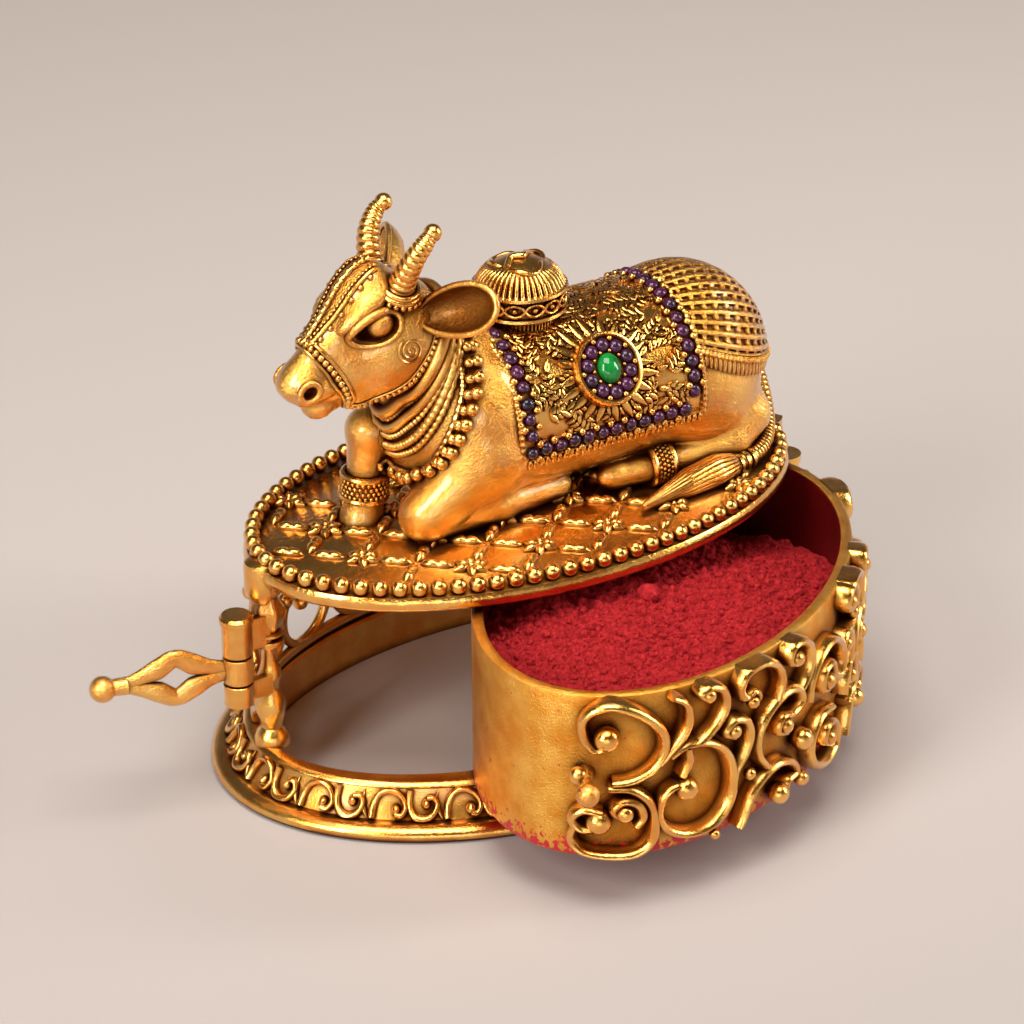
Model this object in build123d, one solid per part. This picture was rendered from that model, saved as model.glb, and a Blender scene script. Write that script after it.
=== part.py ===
from build123d import *
import math
import os

# Kumkum box: an oval casket with a seated bull on its deck and a bowl that swings out on a hinge.
# Millimetres. The origin is the middle of the foot ring on the table, X runs along the oval
# with the bull's head at -X, the bowl swings out towards -Y, and Z is up.

# Clearances
SWING_GAP = 0.30
PIN_PLAY = 0.05
KNUCKLE_GAP = 0.25

# Reach of the plain cutting blocks, larger than the whole box
FAR = 80.0

# Foot ring
FOOT_A = 38.46
FOOT_B = 26.56
FOOT_EDGE_H = 1.4
FRIEZE_A = 36.3
FRIEZE_B = 24.3
FRIEZE_LOW = 1.75
FRIEZE_TOP_A = 34.6
FRIEZE_TOP_B = 22.5
FRIEZE_HIGH = 4.75
FRIEZE_PAIRS = 23
FRIEZE_ARCH_AT = 0.24
FRIEZE_CUP_AT = 0.70
FRIEZE_CURL = 1.85
FRIEZE_BAR = 0.75
FRIEZE_BALL = 0.6
FRIEZE_PROUD = 0.7
FRIEZE_MOUTH = 1.4
LIP_A = 33.97
LIP_B = 21.81
LIP_IN_A = 32.71
LIP_IN_B = 19.67
LIP_TOP = 5.38

# Deck plate and its row of beads
DECK_A = 34.0
DECK_B = 20.77
DECK_LOW = 25.70
DECK_TOP = 27.91
DECK_CHAMFER = 0.35
BEAD_D = 1.85
BEAD_COUNT = 80
BEAD_INSET = 1.05
BEAD_RISE = 0.8
BEAD_EDGE = 0.28
STRAP_R = 2.6
STRAP_PROUD = 0.4
STRAP_CLEAR = 3.5
STRAP_IN = 0.9
STRAP_REACH = 3.0

# Chased flowers and stems on the deck
FLOWER_STEP_X = 8.9
FLOWER_STEP_Y = 8.1
FLOWER_FIRST = (-23.7, -12.9)
FLOWER_COLUMNS = 6
FLOWER_ROWS = 4
FLOWER_EDGE = 3.2
PETALS = 6
PETAL_TIP = 1.8
PETAL_ROOT = 0.6
STEM_START = 2.0
STEM_END = 5.2
STEM_W = 0.8
CHASING_H = 0.5
CHASING_CLEAR = 0.3

# Pierced wall at the back
WALL_T = 1.1
WALL_IN_A = 32.75
WALL_IN_B = 20.15
WALL_BAND = 1.6
WALL_FRONT_Y = 4.6
GALLERY_BAYS = 9
GALLERY_SPREAD = 144.0
GALLERY_SCROLL = 4.9
GALLERY_LOW_Z = 10.8
GALLERY_HIGH_Z = 20.2

# Hinge of the bowl and pin of the latch
HINGE_X = 36.9
LATCH_X = -36.9
PIN_R = 0.8
BARREL_R = 1.7
HINGE_LOW = 10.6
HINGE_HIGH = 18.0
HINGE_PIN_TOP = 21.6
HINGE_FOOT_LOW = 1.0
HINGE_WEB_W = 2.2
HINGE_WEB_TOP = 7.4
HINGE_PIN_SUNK = 6.0
LATCH_POST_FRONT = -1.0
LATCH_POST_BACK = 2.8
LATCH_FOOT_H = 2.4
LATCH_PAD = 0.4
LATCH_EDGE = 0.7
POST_OFFSET = 0.7
LATCH_MIDDLE_Y = 0.8
LATCH_MID = 16.2
LATCH_KNUCKLE_H = 3.1
LATCH_LOW = 11.8
LATCH_HIGH = 22.0
PIN_HEAD_R = 1.9
PIN_HEAD_H = 0.9

# Bowl
OPEN_ANGLE = 32.8
BOWL_A = 29.97
BOWL_B = 18.85
BOWL_WALL = 1.35
BOWL_FLOOR = 1.3
ARM_ROOT = 1.5
ARM_W = 2.0
BOWL_LOW = LIP_TOP + SWING_GAP
BOWL_TOP = DECK_LOW - SWING_GAP
RELIEF = 2.0
RELIEF_START = 2.4
SCROLL_BAR = 1.4
SCROLL_BALL = 1.15
SCROLL_CUT = 3.2
MOUTH_DEEP = 1.1
CURL_SHARE = 0.46
CURL_BAR = 0.8
CURL_TURN = 42
BALL_TURN = 36
# Scrolls on the bowl: turn round the oval, height, size, mouth and hand
FRONT_SCROLLS = [
    (201.5, 20.4, 4.2, 200, 1),
    (198.4, 10.7, 4.0, 165, -1),
    (221.6, 13.4, 4.8, 150, 1),
    (224.4, 22.2, 2.8, 200, -1),
    (232.9, 17.0, 2.6, 200, -1),
    (240.1, 22.3, 3.2, 270, 1),
    (244.6, 8.6, 4.0, 290, -1),
    (247.0, 16.0, 3.9, 320, 1),
    (253.3, 22.0, 2.9, 190, -1),
    (266.1, 16.9, 4.6, 250, 1),
    (265.7, 9.6, 3.6, 20, -1),
    (279.9, 22.4, 2.9, 200, -1),
    (281.4, 13.0, 3.1, 200, -1),
    (288.1, 8.6, 4.0, 290, -1),
    (292.0, 16.0, 3.9, 320, 1),
    (297.0, 22.0, 2.9, 190, -1),
    (310.9, 16.9, 4.6, 250, 1),
    (310.5, 9.6, 3.6, 20, -1),
    (324.0, 21.6, 3.2, 270, 1),
    (325.0, 9.4, 3.8, 60, -1),
    (334.0, 15.6, 3.6, 320, 1),
]

# Heap of powder
POWDER_PEAK = 23.6
POWDER_ROUND = 95.0
POWDER_PEAK_X = -10.0
POWDER_PEAK_Y = -5.0

# Latch lever and the stud it hooks over
LEVER_REST = 165.0
LEVER_SHUT = -58.0
LEVER_T = 1.5
LEVER_ARM_W = 1.9
LEVER_TAIL_W = 1.7
LEVER_WAVE = 0.15
LEVER_LAP = 1.0
LEVER_ROOT = 0.2
EYE_DIST = 7.4
EYE_LONG = 4.6
EYE_TALL = 2.8
EYE_RIM = 1.35
LEVER_TIP = 15.1
LEVER_BALL = 1.45
STUD_DIST = 6.44
STUD_BALL = 1.0
STUD_STEM = 0.6
STUD_ROOT_IN = 0.6
STUD_ROOT_Y = -3.4

# Bull
TRUNK_R = 9.8
TRUNK_Z = 39.4
TRUNK_FRONT = -7.0
TRUNK_REAR = 20.0
NECK_LOW = (-7.5, 40.5, 8.6)
NECK_HIGH = (-17.6, 54.0, 4.8)
HEAD_EYE = (-20.0, 53.0)
HEAD_TILT = 33.7
HEAD = [
    (-6.2, 1.6, 3.6, 3.2),
    (-4.0, 1.4, 5.0, 4.2),
    (-1.0, 0.8, 6.1, 4.8),
    (2.0, 0.1, 5.8, 4.6),
    (6.0, -0.9, 4.5, 3.6),
    (9.5, -1.3, 3.6, 3.4),
    (11.6, -1.5, 2.4, 2.5),
]
HORN = [
    (-17.0, 3.0, 57.6, 1.5),
    (-16.9, 4.0, 59.6, 1.4),
    (-16.2, 4.9, 61.8, 1.15),
    (-14.7, 5.1, 63.9, 0.85),
]
HORN_BALL = 0.95
HORN_BALL_AT = (0.2, 0.5)
EAR_BASE = (-14.6, -3.4, 54.6)
EAR_TIP = (-11.0, -11.2, 57.4)
EAR_W = 2.5
EAR_T = 1.1
EAR_CUP = 1.0
EAR_FACE = (-0.62, -0.30, 0.10)
EAR_HOLLOW = 0.82
EAR_THIN = 0.3
EAR_WIDTHS = [
    (0.0, 0.45),
    (0.25, 0.9),
    (0.55, 1.0),
    (0.8, 0.7),
    (1.0, 0.12),
]

# Trappings of the bull
NOSEBAND = 5.6
NOSEBAND_UP = -0.85
NOSEBAND_W = 3.85
NOSEBAND_H = 4.8
HALTER_PROUD = 0.6
HALTER_W = 1.0
CLOTH_T = 0.9
CLOTH_FRONT = -6.0
CLOTH_REAR = 16.8
CLOTH_HEM = 36.4
COVER_T = 0.8
COVER_HEM = 38.6
COVER_END = 31.5
POT_X = -0.2
POT_LOW = 48.0
POT_R = 5.2
POT_FOOT_R = 3.4
POT_FOOT_H = 3.0
POT_COLLAR = [
    (4.1, 0.6),
    (4.1, 1.5),
    (3.5, 2.0),
]
POT_STEPS = [
    (0.0, 3.2),
    (0.0, 4.2),
    (0.5, 4.7),
    (0.3, 5.4),
    (1.5, 7.2),
    (3.2, 8.2),
    (4.3, 8.5),
]
POT_H = 8.8
MEDAL_X = 5.3
MEDAL_R = 4.0
MEDAL_UP = 32.0
MEDAL_T = 0.66
MEDAL_ROOT = 2.4
CABOCHON_A = 1.35
CABOCHON_B = 1.65
CABOCHON_H = 1.1
CABOCHON_LEAN = 30.0
MEDAL_RING = 2.75
MEDAL_STONES = 10
STONE_R = 0.76
STONE_H = 0.75
STONE_SET = 0.35
STONE_PROUD = 0.5
BORDER_IN = 1.15
BORDER_STEP = 9.8
FRONT_ROW_FROM = 25.9
FRONT_ROW_STONES = 7
REAR_ROW_STONES = 9
HEM_ROW_STONES = 12
HEM_ROW_STEP = 1.84
HEM_ROW_TURN = 96.0
GARLANDS = [
    (-16.2, 50.4, 28.6),
    (-14.85, 47.8, 26.2),
    (-13.5, 45.2, 23.9),
]
GARLAND_T = 1.3
GARLAND_PROUD = 0.8
NECKLACE = (-12.5, 43.9, 23.3)
NECKLACE_T = 1.5
NECKLACE_PROUD = 0.9
RAISED_ANKLET = (-18.15, 3.95)
RAISED_ANKLET_R = 2.7
RAISED_ANKLET_Z = (30.6, 33.0)
NEAR_ANKLET = (13.0, -6.4, 29.75)
NEAR_ANKLET_R = 2.5
NEAR_ANKLET_W = 1.9

# Legs and tail: x, y, z and radius along each one
RAISED_LEG = [
    (-9.0, 4.6, 38.6, 3.6),
    (-17.4, 4.2, 38.4, 2.5),
    (-18.2, 3.9, 31.4, 1.9),
    (-18.4, 3.9, 27.0, 2.6),
]
FOLDED_LEG = [
    (-9.0, -5.6, 37.0, 4.2),
    (-15.6, -4.4, 31.0, 2.9),
    (-7.0, -4.0, 29.7, 1.9),
    (0.6, -3.6, 29.5, 1.7),
]
THIGH = (21.6, -5.4, 34.0, 5.8)
SHANK = [
    (25.2, -7.0, 30.6, 2.4),
    (18.0, -6.9, 29.9, 1.9),
    (9.6, -6.0, 29.7, 1.8),
]
TAIL = [
    (29.2, -1.2, 39.0),
    (30.4, -3.6, 34.5),
    (28.6, -7.2, 30.4),
    (25.4, -9.4, 29.3),
    (21.6, -10.4, 29.2),
]
TAIL_R = 0.95
TUFT = [
    (22.0, -10.4, 29.2, 0.9),
    (19.0, -10.8, 29.3, 1.35),
    (14.0, -11.4, 29.3, 1.4),
    (7.8, -12.4, 28.9, 0.7),
]

# Round pieces stand on their plane
STANDING = (Align.CENTER, Align.CENTER, Align.MIN)


def oval(a, b, low, high):
    """Upright oval prism."""
    return extrude(Plane.XY.offset(low) * Ellipse(a, b), high - low)


def post(x, y, r, low, high):
    """Upright round post."""
    return extrude(Plane(origin=(x, y, low)) * Circle(r), high - low)


def block(x0, x1, y0, y1, z0, z1):
    """Block between two corners."""
    return Pos((x0 + x1) / 2, (y0 + y1) / 2, (z0 + z1) / 2) * Box(x1 - x0, y1 - y0, z1 - z0)


def bone(start, end):
    """Round tapered bar between two stations of x, y, z and radius."""
    way = Vector(*end[:3]) - Vector(*start[:3])
    place = Plane(origin=start[:3], z_dir=way)
    return place * Cone(start[3], end[3], way.length, align=STANDING)


def ball(x, y, z, r):
    """Ball at a point."""
    return Pos(x, y, z) * Sphere(r)


def limb(stations):
    """Jointed limb: tapered bars with a ball at every bend."""
    shape = bone(stations[0], stations[1])
    for start, end in zip(stations[1:], stations[2:]):
        shape += ball(*start)
        shape += bone(start, end)
    return shape


def taper(stations, side=(0, 0, 1)):
    """Smooth bar that changes thickness along gently curving stations."""
    spots = [Vector(x, y, z) for x, y, z, r in stations]
    last = len(spots) - 1
    rounds = []
    for i, (x, y, z, r) in enumerate(stations):
        along = spots[min(i + 1, last)] - spots[max(i - 1, 0)]
        rounds.append(Plane(origin=spots[i], x_dir=side, z_dir=along) * Circle(r))
    return loft(rounds)


def largest(shape):
    """The main solid of a piece after its cuts."""
    return shape.solids().sort_by(SortBy.VOLUME)[-1]


def other_side(shape):
    """The same piece on the far side of the bull."""
    return mirror(shape, about=Plane.XZ)


def trunk(grow=0.0):
    """Barrel of the bull with rounded chest and rump."""
    r = TRUNK_R + grow
    low = Vector(TRUNK_FRONT - r, 0, TRUNK_Z)
    high = Vector(TRUNK_REAR + r, 0, TRUNK_Z)
    chest = Vector(TRUNK_FRONT, 0, TRUNK_Z + r)
    rump = Vector(TRUNK_REAR, 0, TRUNK_Z + r)
    half = r * math.sqrt(0.5)
    outline = ThreePointArc(low, Vector(TRUNK_FRONT - half, 0, TRUNK_Z + half), chest)
    outline += Line(chest, rump)
    outline += ThreePointArc(rump, Vector(TRUNK_REAR + half, 0, TRUNK_Z + half), high)
    outline += Line(high, low)
    return revolve(make_face(outline), Axis((0, 0, TRUNK_Z), (1, 0, 0)), 360)


def neck(grow=0.0):
    """Neck rising from the shoulders to the head."""
    low = (NECK_LOW[0], 0, NECK_LOW[1], NECK_LOW[2] + grow)
    high = (NECK_HIGH[0], 0, NECK_HIGH[1], NECK_HIGH[2] + grow)
    return bone(low, high)


def head_point(along, up):
    """Point on the middle of the head, along its length and up from its axis."""
    c = math.cos(math.radians(HEAD_TILT))
    s = math.sin(math.radians(HEAD_TILT))
    return (HEAD_EYE[0] - along * c - up * s, 0, HEAD_EYE[1] - along * s + up * c)


def head_way():
    """Direction from the poll to the muzzle."""
    return (-math.cos(math.radians(HEAD_TILT)), 0, -math.sin(math.radians(HEAD_TILT)))


def head():
    """Head from the poll to the muzzle."""
    rings = []
    for along, up, half_tall, half_wide in HEAD:
        section = Plane(origin=head_point(along, up), x_dir=(0, 1, 0), z_dir=head_way())
        rings.append(section * Ellipse(half_wide, half_tall))
    return loft(rings)


def slab(x, z, lean, thick):
    """Upright slice across the bull, leaning by an angle from the level."""
    t = math.radians(lean)
    across = Plane(origin=(x, 0, z), x_dir=(0, 1, 0), z_dir=(-math.cos(t), 0, math.sin(t)))
    return extrude(across * Rectangle(FAR, FAR), thick / 2, both=True)


def wall_plane(a, b, turn, z):
    """Plane that touches an oval wall at an angle round it and faces outwards."""
    t = math.radians(turn)
    out = (math.cos(t) / a, math.sin(t) / b, 0)
    along = (-math.sin(t) * a, math.cos(t) * b, 0)
    return Plane(origin=(a * math.cos(t), b * math.sin(t), z), x_dir=along, z_dir=out)


def scroll(a, b, turn, z, size, mouth, hand):
    """C scroll with a curled end and a ball, cut as a bar through an oval wall."""
    ring = Circle(size) - Circle(size - SCROLL_BAR)
    ring -= Rot(0, 0, mouth) * Pos(size, 0) * Rectangle(size * MOUTH_DEEP, size)
    curl = size * CURL_SHARE
    at = Rot(0, 0, mouth + hand * CURL_TURN) * Pos(size - curl, 0)
    ring += at * Circle(curl)
    if curl > SCROLL_BAR:
        ring -= at * Circle(curl - SCROLL_BAR * CURL_BAR)
    ring += Rot(0, 0, mouth - hand * BALL_TURN) * Pos(size - SCROLL_BAR / 2, 0) * Circle(SCROLL_BALL)
    return extrude(wall_plane(a, b, turn, z) * ring, SCROLL_CUT, both=True)


def frieze_curl(path, share, hand):
    """Arch or cup of the running scroll on the sloping frieze, with a ball in its curl."""
    spot = path @ share
    along = path % share
    rise = FRIEZE_HIGH - FRIEZE_LOW
    run = FRIEZE_A - FRIEZE_TOP_A
    face = Vector(along.Y * rise, -along.X * rise, run)
    middle = Vector(spot.X, spot.Y, (FRIEZE_LOW + FRIEZE_HIGH) / 2)
    shape = Circle(FRIEZE_CURL) - Circle(FRIEZE_CURL - FRIEZE_BAR)
    shape -= Pos(0, -hand * FRIEZE_CURL) * Rectangle(3 * FRIEZE_CURL, FRIEZE_MOUTH * FRIEZE_CURL)
    shape = Pos(0, -hand * FRIEZE_BAR / 2) * shape
    shape += Pos(FRIEZE_BALL, -hand * FRIEZE_BALL) * Circle(FRIEZE_BALL)
    return extrude(Plane(origin=middle, x_dir=along, z_dir=face) * shape, FRIEZE_PROUD, both=True)


def gap_to_bar(x, y, start, end):
    """How far a point of the deck lies from the shadow of a bar between two stations."""
    way_x = end[0] - start[0]
    way_y = end[1] - start[1]
    share = ((x - start[0]) * way_x + (y - start[1]) * way_y) / (way_x**2 + way_y**2 + 0.001)
    share = min(max(share, 0), 1)
    return math.hypot(x - start[0] - share * way_x, y - start[1] - share * way_y)


def clear_of_legs(x, y, reach):
    """True where a patch of the deck lies clear of the legs and the tail."""
    far_shank = [(sx, -sy, sz, r) for sx, sy, sz, r in SHANK]
    far_thigh = (THIGH[0], -THIGH[1], THIGH[2], THIGH[3])
    tail_bar = [(*spot, TAIL_R) for spot in TAIL]
    for stations in (RAISED_LEG, FOLDED_LEG, [THIGH] + SHANK, [far_thigh] + far_shank, tail_bar, TUFT):
        for start, end in zip(stations, stations[1:]):
            thick = max(start[3], end[3])
            low = min(start[2] - start[3], end[2] - end[3])
            if low < DECK_TOP + CHASING_H and gap_to_bar(x, y, start, end) < thick + reach:
                return False
    return True


def on_deck(x, y):
    """True where a point lies inside the row of beads."""
    return (x / (DECK_A - FLOWER_EDGE)) ** 2 + (y / (DECK_B - FLOWER_EDGE)) ** 2 < 1


def arm_point(x, angle, dist):
    """Point at a distance from the latch pin in a direction round it."""
    t = math.radians(angle)
    return (x + dist * math.cos(t), dist * math.sin(t))


# Foot ring: a plain edge, a sloped frieze of running scrolls and a narrow lip
foot_steps = [
    (0.0, FOOT_A, FOOT_B),
    (FOOT_EDGE_H, FOOT_A, FOOT_B),
    (FRIEZE_LOW, FRIEZE_A, FRIEZE_B),
    (FRIEZE_HIGH, FRIEZE_TOP_A, FRIEZE_TOP_B),
    (LIP_TOP, LIP_A, LIP_B),
]
foot = loft([Plane.XY.offset(z) * Ellipse(a, b) for z, a, b in foot_steps], ruled=True)
foot -= oval(LIP_IN_A, LIP_IN_B, -1, LIP_TOP + 1)
frieze_path = Ellipse((FRIEZE_A + FRIEZE_TOP_A) / 2, (FRIEZE_B + FRIEZE_TOP_B) / 2).edge()
curls = []
for i in range(FRIEZE_PAIRS):
    for at, hand in ((FRIEZE_ARCH_AT, 1), (FRIEZE_CUP_AT, -1)):
        share = (0.5 + (i + at) / FRIEZE_PAIRS) % 1
        spot = frieze_path @ share
        if spot.X < 0 or abs(spot.Y) > FRIEZE_CURL + HINGE_WEB_W:
            curls.append(frieze_curl(frieze_path, share, hand))
base_ring = foot.fuse(*curls)

# Deck plate and its beads
lid_plate = oval(DECK_A, DECK_B, DECK_LOW, DECK_TOP)
lid_plate = chamfer(lid_plate.edges().group_by(Axis.Z)[-1], DECK_CHAMFER)
chasing = []
for row in range(FLOWER_ROWS):
    for column in range(FLOWER_COLUMNS):
        x = FLOWER_FIRST[0] + FLOWER_STEP_X * column
        y = FLOWER_FIRST[1] + FLOWER_STEP_Y * row
        if on_deck(x, y) and clear_of_legs(x, y, PETAL_TIP + CHASING_CLEAR):
            star = []
            for i in range(2 * PETALS):
                turn = math.radians(180 / PETALS * i)
                reach = PETAL_ROOT if i % 2 else PETAL_TIP
                star.append((x + reach * math.cos(turn), y + reach * math.sin(turn)))
            chasing.append(make_face(Polyline(*star, close=True)))
        for way_x, way_y in ((1, 1), (1, -1), (-1, 1), (-1, -1)):
            lean = math.atan2(way_y * FLOWER_STEP_Y, way_x * FLOWER_STEP_X)
            spots = [(x + d * math.cos(lean), y + d * math.sin(lean)) for d in (STEM_START, STEM_END)]
            middle = ((spots[0][0] + spots[1][0]) / 2, (spots[0][1] + spots[1][1]) / 2)
            reach = STEM_W + CHASING_CLEAR
            if all(on_deck(*spot) and clear_of_legs(*spot, reach) for spot in spots + [middle]):
                stem = SlotOverall(STEM_END - STEM_START, STEM_W)
                chasing.append(Pos(*middle) * Rot(0, 0, math.degrees(lean)) * stem)
chasing = [extrude(Pos(0, 0, DECK_TOP - CHASING_H) * shape, 2 * CHASING_H) for shape in chasing]
lid_plate = lid_plate.fuse(*chasing)
bead_path = Ellipse(DECK_A - BEAD_INSET, DECK_B - BEAD_INSET).edge()
beads = []
for i in range(BEAD_COUNT):
    spot = bead_path @ (i / BEAD_COUNT)
    bead = Cylinder(BEAD_D / 2, BEAD_D * BEAD_RISE, align=STANDING)
    bead = chamfer(bead.edges().group_by(Axis.Z)[-1], BEAD_D * BEAD_EDGE)
    beads.append(Pos(spot.X, spot.Y, DECK_TOP) * bead)

# Latch post: baluster, fixed knuckles and the strap that laps over the deck's edge
post_x = (LATCH_X + BARREL_R + POST_OFFSET, -BOWL_A - 2 * SWING_GAP)
lever_low = LATCH_MID - LATCH_KNUCKLE_H / 2
lever_high = LATCH_MID + LATCH_KNUCKLE_H / 2
post_y = (LATCH_POST_FRONT, LATCH_POST_BACK)
latch_post = block(post_x[0], post_x[1] - LATCH_PAD, *post_y, LIP_TOP, DECK_LOW)
latch_post = fillet(latch_post.edges().filter_by(Axis.Z), LATCH_EDGE)
for low in (LIP_TOP, DECK_LOW - LATCH_FOOT_H):
    pad_y = (LATCH_POST_FRONT - LATCH_PAD, LATCH_POST_BACK + LATCH_PAD)
    latch_post += block(post_x[0], post_x[1], *pad_y, low, low + LATCH_FOOT_H)
strap = post(-DECK_A + STRAP_IN, LATCH_MIDDLE_Y, STRAP_R, DECK_LOW - LATCH_FOOT_H, DECK_TOP + STRAP_PROUD)
latch_post += strap & block(-2 * DECK_A, STRAP_REACH - DECK_A, -DECK_B, DECK_B, 0, 2 * DECK_TOP)
for low, high in ((LATCH_LOW, lever_low - KNUCKLE_GAP), (lever_high + KNUCKLE_GAP, LATCH_HIGH)):
    latch_post += post(LATCH_X, 0, BARREL_R, low, high)
    latch_post += block(LATCH_X, post_x[0] + LATCH_PAD, LATCH_POST_FRONT, -LATCH_POST_FRONT, low, high)
latch_post -= post(LATCH_X, 0, PIN_R, LATCH_LOW - 1, LATCH_HIGH + 1)
latch_post -= lid_plate
latch_post -= foot
latch_pin = post(LATCH_X, 0, PIN_R, LATCH_LOW, LATCH_HIGH)
latch_pin += post(LATCH_X, 0, PIN_HEAD_R, LATCH_HIGH, LATCH_HIGH + PIN_HEAD_H)
latch_pin = chamfer(latch_pin.edges().group_by(Axis.Z)[-1], PIN_HEAD_H / 3)
strap_end = DECK_A - 2 * STRAP_IN
beads_kept = []
for bead in beads:
    spot = bead.center()
    under_strap = spot.X < -strap_end and abs(spot.Y - LATCH_MIDDLE_Y) < STRAP_CLEAR
    under_clasp = spot.X > strap_end and abs(spot.Y) < STRAP_CLEAR
    if not under_strap and not under_clasp:
        beads_kept.append(bead)
bead_rim = Compound(children=beads_kept)

# Hinge brackets: one stands on the foot ring, one hangs from the deck's edge
hinge_low = post(HINGE_X, 0, BARREL_R, HINGE_FOOT_LOW, HINGE_LOW)
web_y = (-HINGE_WEB_W / 2, HINGE_WEB_W / 2)
hinge_low += block(LIP_IN_A + SWING_GAP, HINGE_X, *web_y, FRIEZE_LOW, HINGE_WEB_TOP)
hinge_low -= foot
hinge_low -= post(HINGE_X, 0, PIN_R, HINGE_LOW - HINGE_PIN_SUNK, HINGE_LOW + 1)
hinge_high = post(HINGE_X, 0, BARREL_R, HINGE_HIGH, HINGE_PIN_TOP)
hinge_high += block(DECK_A - STRAP_IN, HINGE_X, *web_y, HINGE_HIGH + PIN_HEAD_H, DECK_TOP - STRAP_PROUD)
clasp = post(DECK_A - STRAP_IN, 0, STRAP_R, DECK_LOW - BARREL_R, DECK_TOP + STRAP_PROUD)
hinge_high += clasp & block(DECK_A - STRAP_REACH, 2 * DECK_A, -DECK_B, DECK_B, 0, 2 * DECK_TOP)
hinge_high -= post(HINGE_X, 0, PIN_R, HINGE_HIGH - 1, DECK_TOP + 1)
hinge_high -= post(HINGE_X, 0, PIN_HEAD_R + PIN_PLAY, HINGE_PIN_TOP, DECK_TOP + 1)
hinge_high -= lid_plate
hinge_pin = post(HINGE_X, 0, PIN_R, HINGE_LOW - HINGE_PIN_SUNK, HINGE_PIN_TOP)
hinge_pin += post(HINGE_X, 0, PIN_HEAD_R, HINGE_PIN_TOP, HINGE_PIN_TOP + PIN_HEAD_H)

# Pierced wall at the back: a foot band, a top band and scrolls between them
wall_out_a = WALL_IN_A + WALL_T
wall_out_b = WALL_IN_B + WALL_T
wall_tube = oval(wall_out_a, wall_out_b, LIP_TOP, DECK_LOW) - oval(WALL_IN_A, WALL_IN_B, 0, FAR)
rear_half = block(-FAR, FAR, WALL_FRONT_Y, FAR, 0, FAR)
bands = wall_tube & block(-FAR, FAR, -FAR, FAR, LIP_TOP, LIP_TOP + WALL_BAND)
bands += wall_tube & block(-FAR, FAR, -FAR, FAR, DECK_LOW - WALL_BAND, DECK_LOW)
gallery = []
for i in range(GALLERY_BAYS):
    turn = 90 + GALLERY_SPREAD * (i / (GALLERY_BAYS - 1) - 0.5)
    hand = 1 if i % 2 else -1
    for z, way in ((GALLERY_LOW_Z, hand), (GALLERY_HIGH_Z, -hand)):
        gallery.append(scroll(WALL_IN_A, WALL_IN_B, turn, z, GALLERY_SCROLL, 90 + 90 * way, way))
gallery_wall = bands
for piece in gallery:
    gallery_wall += wall_tube & piece
gallery_wall = gallery_wall & rear_half

# Bowl, drawn shut and then swung to its open place
bowl = oval(BOWL_A, BOWL_B, BOWL_LOW, BOWL_TOP)
inside = oval(BOWL_A - BOWL_WALL, BOWL_B - BOWL_WALL, BOWL_LOW + BOWL_FLOOR, BOWL_TOP + 1)
arm_low = HINGE_LOW + KNUCKLE_GAP
arm_high = HINGE_HIGH - KNUCKLE_GAP
drawer_bowl = bowl + block(BOWL_A - ARM_ROOT, HINGE_X, -ARM_W / 2, ARM_W / 2, arm_low, arm_high)
drawer_bowl += post(HINGE_X, 0, BARREL_R, arm_low, arm_high)
drawer_bowl -= inside
drawer_bowl -= post(HINGE_X, 0, PIN_R + PIN_PLAY, arm_low - 1, arm_high + 1)

# Scrolls on the front of the bowl
relief_tube = oval(BOWL_A + RELIEF, BOWL_B + RELIEF, BOWL_LOW, BOWL_TOP) - bowl
relief_tube -= block(-FAR, 0, -RELIEF_START, FAR, 0, FAR)
scrolls = [relief_tube & scroll(BOWL_A, BOWL_B, *values) for values in FRONT_SCROLLS]
drawer_scrollwork = scrolls[0].fuse(*scrolls[1:])

# Stud for the latch on the bowl's tip
stud_x, stud_y = arm_point(LATCH_X, LEVER_SHUT, STUD_DIST)
stem_way = Vector(STUD_ROOT_IN - BOWL_A, STUD_ROOT_Y, LATCH_MID) - Vector(stud_x, stud_y, LATCH_MID)
shoulder = math.sqrt(STUD_BALL**2 - STUD_STEM**2)
stud_edge = ThreePointArc((0, -STUD_BALL), (STUD_BALL, 0), (STUD_STEM, shoulder))
stem_end = stem_way.length
stud_edge += Polyline((STUD_STEM, shoulder), (STUD_STEM, stem_end), (0, stem_end), (0, -STUD_BALL))
stud = revolve(Plane.XZ * make_face(stud_edge), Axis.Z, 360)
stud = Plane(origin=(stud_x, stud_y, LATCH_MID), z_dir=stem_way) * stud
latch_stud = largest(stud - bowl)
drawer_scrollwork -= stud

# Heap of powder in the bowl
heap = oval(BOWL_A - BOWL_WALL, BOWL_B - BOWL_WALL, BOWL_LOW + BOWL_FLOOR, BOWL_TOP)
heap = heap & (Pos(POWDER_PEAK_X, POWDER_PEAK_Y, POWDER_PEAK - POWDER_ROUND) * Sphere(POWDER_ROUND))

swing = Pos(HINGE_X, 0, 0) * Rot(0, 0, OPEN_ANGLE) * Pos(-HINGE_X, 0, 0)
drawer_bowl = swing * drawer_bowl
drawer_scrollwork = swing * drawer_scrollwork
latch_stud = swing * latch_stud
kumkum_powder = swing * heap

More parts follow.
